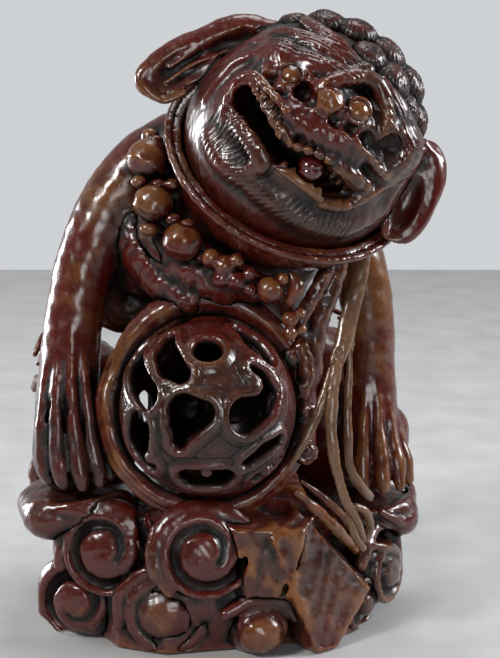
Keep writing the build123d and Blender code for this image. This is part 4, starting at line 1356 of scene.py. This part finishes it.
def finish_wood(name, deep, body, worn, dust_and_sheen, brown=None, gloss=0.24, wear_at=0.16, coat=0.35):
    """Lacquered carved wood: near black painted shade in hollows, red-brown on faces, amber on rubbed edges,
    a veil of dust and painted sheen.
    """
    material = bpy.data.materials.new(name)
    material.use_nodes = True
    nodes, links = material.node_tree.nodes, material.node_tree.links
    nodes.clear()
    output = nodes.new("ShaderNodeOutputMaterial")
    shader = nodes.new("ShaderNodeBsdfPrincipled")
    links.new(shader.outputs["BSDF"], output.inputs["Surface"])
    place = nodes.new("ShaderNodeTexCoord")
    wear_and_shade = nodes.new("ShaderNodeAttribute")
    wear_and_shade.attribute_name = "wear_and_shade"

    def noise(scale, detail, rough, stretch=None):
        """Value of a noise in the object's own coordinates, stretched along the grain if asked."""
        made = nodes.new("ShaderNodeTexNoise")
        made.inputs["Scale"].default_value = scale
        made.inputs["Detail"].default_value = detail
        made.inputs["Roughness"].default_value = rough
        source = place.outputs["Object"]
        if stretch is not None:
            spread = nodes.new("ShaderNodeVectorMath")
            spread.operation = "MULTIPLY"
            spread.inputs[1].default_value = stretch
            links.new(source, spread.inputs[0])
            source = spread.outputs[0]
        links.new(source, made.inputs["Vector"])
        return made.outputs["Fac"]

    def sums(kind, a, b):
        """One step of arithmetic on sockets or numbers."""
        made = nodes.new("ShaderNodeMath")
        made.operation = kind
        for i, value in enumerate((a, b)):
            if isinstance(value, (int, float)):
                made.inputs[i].default_value = value
            else:
                links.new(value, made.inputs[i])
        return made.outputs[0]

    def swing(value, amount):
        """A noise, brought to swing about zero by this amount."""
        return sums("MULTIPLY", sums("SUBTRACT", value, 0.5), amount)

    def ramp(value, low, high, out_low=0.0, out_high=1.0):
        """A smooth step from one value to another."""
        made = nodes.new("ShaderNodeMapRange")
        made.interpolation_type = "SMOOTHSTEP"
        for key, number in (("From Min", low), ("From Max", high), ("To Min", out_low),
                            ("To Max", out_high)):
            made.inputs[key].default_value = number
        links.new(value, made.inputs["Value"])
        return made.outputs[0]

    def mixed(share, a, b):
        """Mix of two colours, each a socket or three numbers."""
        made = nodes.new("ShaderNodeMix")
        made.data_type = "RGBA"
        links.new(share, made.inputs[0])
        for i, value in ((6, a), (7, b)):
            if isinstance(value, tuple):
                made.inputs[i].default_value = (*value, 1.0)
            else:
                links.new(value, made.inputs[i])
        return made.outputs[2]

    patch = noise(30.0, 2.0, 0.5)
    blotch = noise(90.0, 3.0, 0.55)
    fine = noise(420.0, 4.0, 0.6)
    fibre = noise(1.0, 4.0, 0.65, GRAIN)
    wear_and_shade_level = sums("ADD", wear_and_shade.outputs["Fac"], swing(blotch, 0.55))
    wear_and_shade_level = sums("ADD", wear_and_shade_level, swing(fine, 0.22))
    # painted shade: where the attribute and noise run low, in hollows, grooves and the spots the shade
    # functions darken, the colour goes to the near black deep colour
    hollow = ramp(wear_and_shade_level, -0.42, 0.06)
    rubbed_share = ramp(sums("ADD", wear_and_shade_level, swing(patch, 0.9)), wear_at, wear_at + 0.46)
    face = mixed(ramp(patch, 0.46, 0.64), body, brown or body)
    colour = mixed(hollow, deep, face)
    colour = mixed(sums("MULTIPLY", rubbed_share, 0.88), colour, worn)
    colour = mixed(sums("MULTIPLY", ramp(blotch, 0.42, 0.68), 0.30), colour, tuple(0.42 * c for c in body))
    colour = mixed(sums("MULTIPLY", ramp(fibre, 0.40, 0.72), 0.24), colour, deep)
    # dust and painted sheen: a pale grey veil over the faces, away from the hollows
    dust_and_sheen_share = sums("MULTIPLY", sums("MULTIPLY", ramp(fine, 0.56, 0.80), hollow), 0.10)
    colour = mixed(dust_and_sheen_share, colour, dust_and_sheen)
    links.new(colour, shader.inputs["Base Color"])
    rough = ramp(fine, 0.30, 0.75, gloss - 0.07, gloss + 0.13)
    rough = sums("ADD", rough, sums("MULTIPLY", sums("SUBTRACT", 1.0, hollow), 0.22))
    links.new(rough, shader.inputs["Roughness"])
    shader.inputs["IOR"].default_value = 1.5
    links.new(ramp(wear_and_shade_level, -1.0, -0.15, 0.04, 0.5), shader.inputs["Specular IOR Level"])
    links.new(ramp(wear_and_shade_level, -0.45, 0.0, coat * 0.15, coat), shader.inputs["Coat Weight"])
    shader.inputs["Coat Roughness"].default_value = 0.16
    shader.inputs["Coat IOR"].default_value = 1.5
    bumps = nodes.new("ShaderNodeBump")
    bumps.inputs["Strength"].default_value = 0.35
    bumps.inputs["Distance"].default_value = 0.00022
    height = sums("ADD", sums("MULTIPLY", fibre, 0.8), sums("MULTIPLY", fine, 0.7))
    links.new(height, bumps.inputs["Height"])
    links.new(bumps.outputs["Normal"], shader.inputs["Normal"])
    return material


# colours of each wood: painted shade deep in the hollows, on the faces, worn at the edges, dust and painted
# sheen, and patches of brown
NEAR_BLACK = (0.0030, 0.0008, 0.0006)
GREY_DUST_AND_SHEEN = (0.22, 0.16, 0.14)
WOODS = {
    "lacquered_wood": finish_wood("lacquered_wood", NEAR_BLACK, (0.080, 0.0078, 0.0042),
                                  (0.185, 0.066, 0.0160), GREY_DUST_AND_SHEEN, (0.042, 0.0130, 0.0062)),
    "base_wood": finish_wood("base_wood", NEAR_BLACK, (0.074, 0.0080, 0.0045),
                             (0.215, 0.074, 0.0180), GREY_DUST_AND_SHEEN, (0.056, 0.0170, 0.0076)),
    "ribbon_wood": finish_wood("ribbon_wood", (0.0040, 0.0014, 0.0010), (0.054, 0.020, 0.0110),
                               (0.180, 0.092, 0.046), (0.26, 0.21, 0.18), (0.040, 0.020, 0.0130)),
    "eye_wood": finish_wood("eye_wood", (0.02, 0.005, 0.002), (0.085, 0.024, 0.006),
                            (0.24, 0.080, 0.018), (0.5, 0.3, 0.15), (0.055, 0.017, 0.005), gloss=0.18),
    "worn_wood": finish_wood("worn_wood", (0.010, 0.003, 0.002), (0.046, 0.015, 0.006),
                             (0.17, 0.072, 0.020), (0.3, 0.2, 0.1)),
    "pearl_wood": finish_wood("pearl_wood", (0.015, 0.001, 0.001), (0.060, 0.003, 0.002),
                              (0.09, 0.006, 0.004), (0.3, 0.1, 0.08), gloss=0.10, wear_at=0.6, coat=1.0),
    # inner_wood is a much darker copy of the lacquered wood: painted shade for the ball that sits inside the
    # pierced ball
    "inner_wood": finish_wood("inner_wood", (0.003, 0.001, 0.001), (0.016, 0.004, 0.002),
                              (0.05, 0.014, 0.006), (0.2, 0.14, 0.1)),
}


# ---------------------------------------------------------------- pieces

def turned_ball(node):
    """A turned ball with a fine lathe ring and a small drilled dimple."""
    low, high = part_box(node)
    radius = (high.x - low.x) * 500.0
    step = FINE * (0.6 if radius < 4 else 1.0)
    block = Block((-radius - 1.5,) * 3, (radius + 1.5,) * 3, step, placing(np.eye(3), middle(node)))
    block.lump(node, (0, 0, 0), radius, 0)
    across, back = np.eye(3)[:2]
    block.groove(ring(np.zeros(3), across, back, radius * 0.99, 0.30, 32), 0.3, spans=1)
    block.scoop((0, -radius, 0), radius * 0.13, 0.2)
    return block


def show(block):
    """Turn each piece of a block into a Blender object that stands in for its CAD node."""
    for node, (points, faces, wear_and_shade) in block.skin().items():
        mesh = build_mesh(node + "_carved", points, faces, wear_and_shade)
        mesh.materials.append(WOODS["ribbon_wood" if node.startswith("ribbon") else SLOT_OF[node]])
        piece = bpy.data.objects.new(node + "_carved", mesh)
        bpy.context.scene.collection.objects.link(piece)
        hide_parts(node)
        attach(piece, BODY_OF[node])


for maker in (carve_head, carve_body, carve_ball, carve_base):
    show(maker())
for ball_node in ("mouth_pearl", "inner_ball"):
    show(turned_ball(ball_node))

# a CAD node that no carved piece stands for keeps its own shape, in the same wood
for plain_node in frame["nodes"].values():
    if not plain_node.hide_render:
        plain_node.data.materials.clear()
        plain_node.data.materials.append(WOODS["lacquered_wood"])


# ---------------------------------------------------------------- floor, light and camera

def floor_finish():
    """A plain pale board with slow changes of tone."""
    material = bpy.data.materials.new("pale_board")
    material.use_nodes = True
    nodes, links = material.node_tree.nodes, material.node_tree.links
    shader = nodes["Principled BSDF"]
    grain = nodes.new("ShaderNodeTexNoise")
    grain.inputs["Scale"].default_value = 60.0
    tone = nodes.new("ShaderNodeMapRange")
    for key, number in (("From Min", 0.3), ("From Max", 0.7), ("To Min", 0.40), ("To Max", 0.47)):
        tone.inputs[key].default_value = number
    links.new(grain.outputs["Fac"], tone.inputs["Value"])
    links.new(tone.outputs[0], shader.inputs["Base Color"])
    shader.inputs["Roughness"].default_value = 0.7
    return material


# the board is square, faces the viewer, and lies just under the object
TABLE_HALF = 0.47
TABLE_TURN = -0.2447
CORNERS = ((-1, -1), (1, -1), (1, 1), (-1, 1))
floor_mesh = bpy.data.meshes.new("floor")
floor_mesh.from_pydata([(x * TABLE_HALF, y * TABLE_HALF, -0.0003) for x, y in CORNERS], [], [(0, 1, 2, 3)])
floor = bpy.data.objects.new("floor", floor_mesh)
bpy.context.scene.collection.objects.link(floor)
floor_mesh.materials.append(floor_finish())
floor.rotation_euler = (0.0, 0.0, TABLE_TURN)

# where the viewer is: the direction to them, the point they look at, and how far off they are
VIEW_BACK = Vector((-0.237, -0.949, 0.208)).normalized()
VIEW_TARGET = Vector((0.0120, 0.0121, 0.0690))
VIEW_DISTANCE = 0.560
VIEW_RIGHT = Vector((0.970, -0.242, 0.0)).normalized()
VIEW_UP = VIEW_BACK.cross(VIEW_RIGHT).normalized()


def lamp(name, across, ahead, height, size, watts, colour=(1, 1, 1)):
    """A soft square light, placed in metres across, towards the viewer and above the floor."""
    data = bpy.data.lights.new(name, "AREA")
    data.shape = "SQUARE"
    data.size = size
    data.energy = watts
    data.color = colour
    made = bpy.data.objects.new(name, data)
    bpy.context.scene.collection.objects.link(made)
    level = Vector((VIEW_BACK.x, VIEW_BACK.y, 0)).normalized()
    made.location = Vector((VIEW_TARGET.x, VIEW_TARGET.y,
                            0)) + VIEW_RIGHT * across + level * ahead + Vector((0, 0, height))
    made.rotation_euler = (VIEW_TARGET - made.location).to_track_quat("-Z", "Y").to_euler()


lamp("key_left", -0.46, 0.42, 0.52, 0.15, 3.8, (1.0, 0.985, 0.96))
lamp("rim_left", -0.52, -0.26, 0.12, 0.20, 3.2, (0.95, 0.975, 1.0))
lamp("rim_right", 0.50, -0.02, 0.30, 0.20, 3.0, (0.95, 0.975, 1.0))
lamp("top", 0.05, -0.10, 0.62, 0.25, 1.1)
lamp("front_low", 0.12, 0.70, 0.22, 0.22, 1.0)

# a pale surround, darker on the viewer's side so that the lacquer keeps its depth
world = bpy.data.worlds.new("studio")
bpy.context.scene.world = world
world.use_nodes = True
air, wires = world.node_tree.nodes, world.node_tree.links
around = air.new("ShaderNodeTexCoord")
turned = air.new("ShaderNodeVectorMath")
turned.operation = "DOT_PRODUCT"
turned.inputs[1].default_value = (-VIEW_BACK.x, -VIEW_BACK.y, 0.25)
wires.new(around.outputs["Generated"], turned.inputs[0])
level = air.new("ShaderNodeMapRange")
for key, number in (("From Min", -0.6), ("From Max", 0.7), ("To Min", 0.06), ("To Max", 0.40)):
    level.inputs[key].default_value = number
wires.new(turned.outputs["Value"], level.inputs["Value"])
seen = air.new("ShaderNodeLightPath")
shown = air.new("ShaderNodeMix")
shown.data_type = "FLOAT"
shown.inputs[3].default_value = 0.66
wires.new(seen.outputs["Is Camera Ray"], shown.inputs[0])
wires.new(level.outputs[0], shown.inputs[2])
air["Background"].inputs[0].default_value = (0.94, 0.965, 1.0, 1.0)
wires.new(shown.outputs[0], air["Background"].inputs[1])

camera_data = bpy.data.cameras.new("camera")
camera = bpy.data.objects.new("camera", camera_data)
bpy.context.scene.collection.objects.link(camera)
camera_data.sensor_fit = "VERTICAL"
camera_data.sensor_height = 24.0
camera_data.lens = 81.7
camera_data.clip_start = 0.01
camera.location = VIEW_TARGET + VIEW_BACK * VIEW_DISTANCE
camera.matrix_world = Matrix((
    (VIEW_RIGHT.x, VIEW_UP.x, VIEW_BACK.x, camera.location.x),
    (VIEW_RIGHT.y, VIEW_UP.y, VIEW_BACK.y, camera.location.y),
    (VIEW_RIGHT.z, VIEW_UP.z, VIEW_BACK.z, camera.location.z),
    (0.0, 0.0, 0.0, 1.0)))
bpy.context.scene.camera = camera
bpy.context.scene.view_settings.view_transform = "Standard"
bpy.context.scene.view_settings.look = "None"
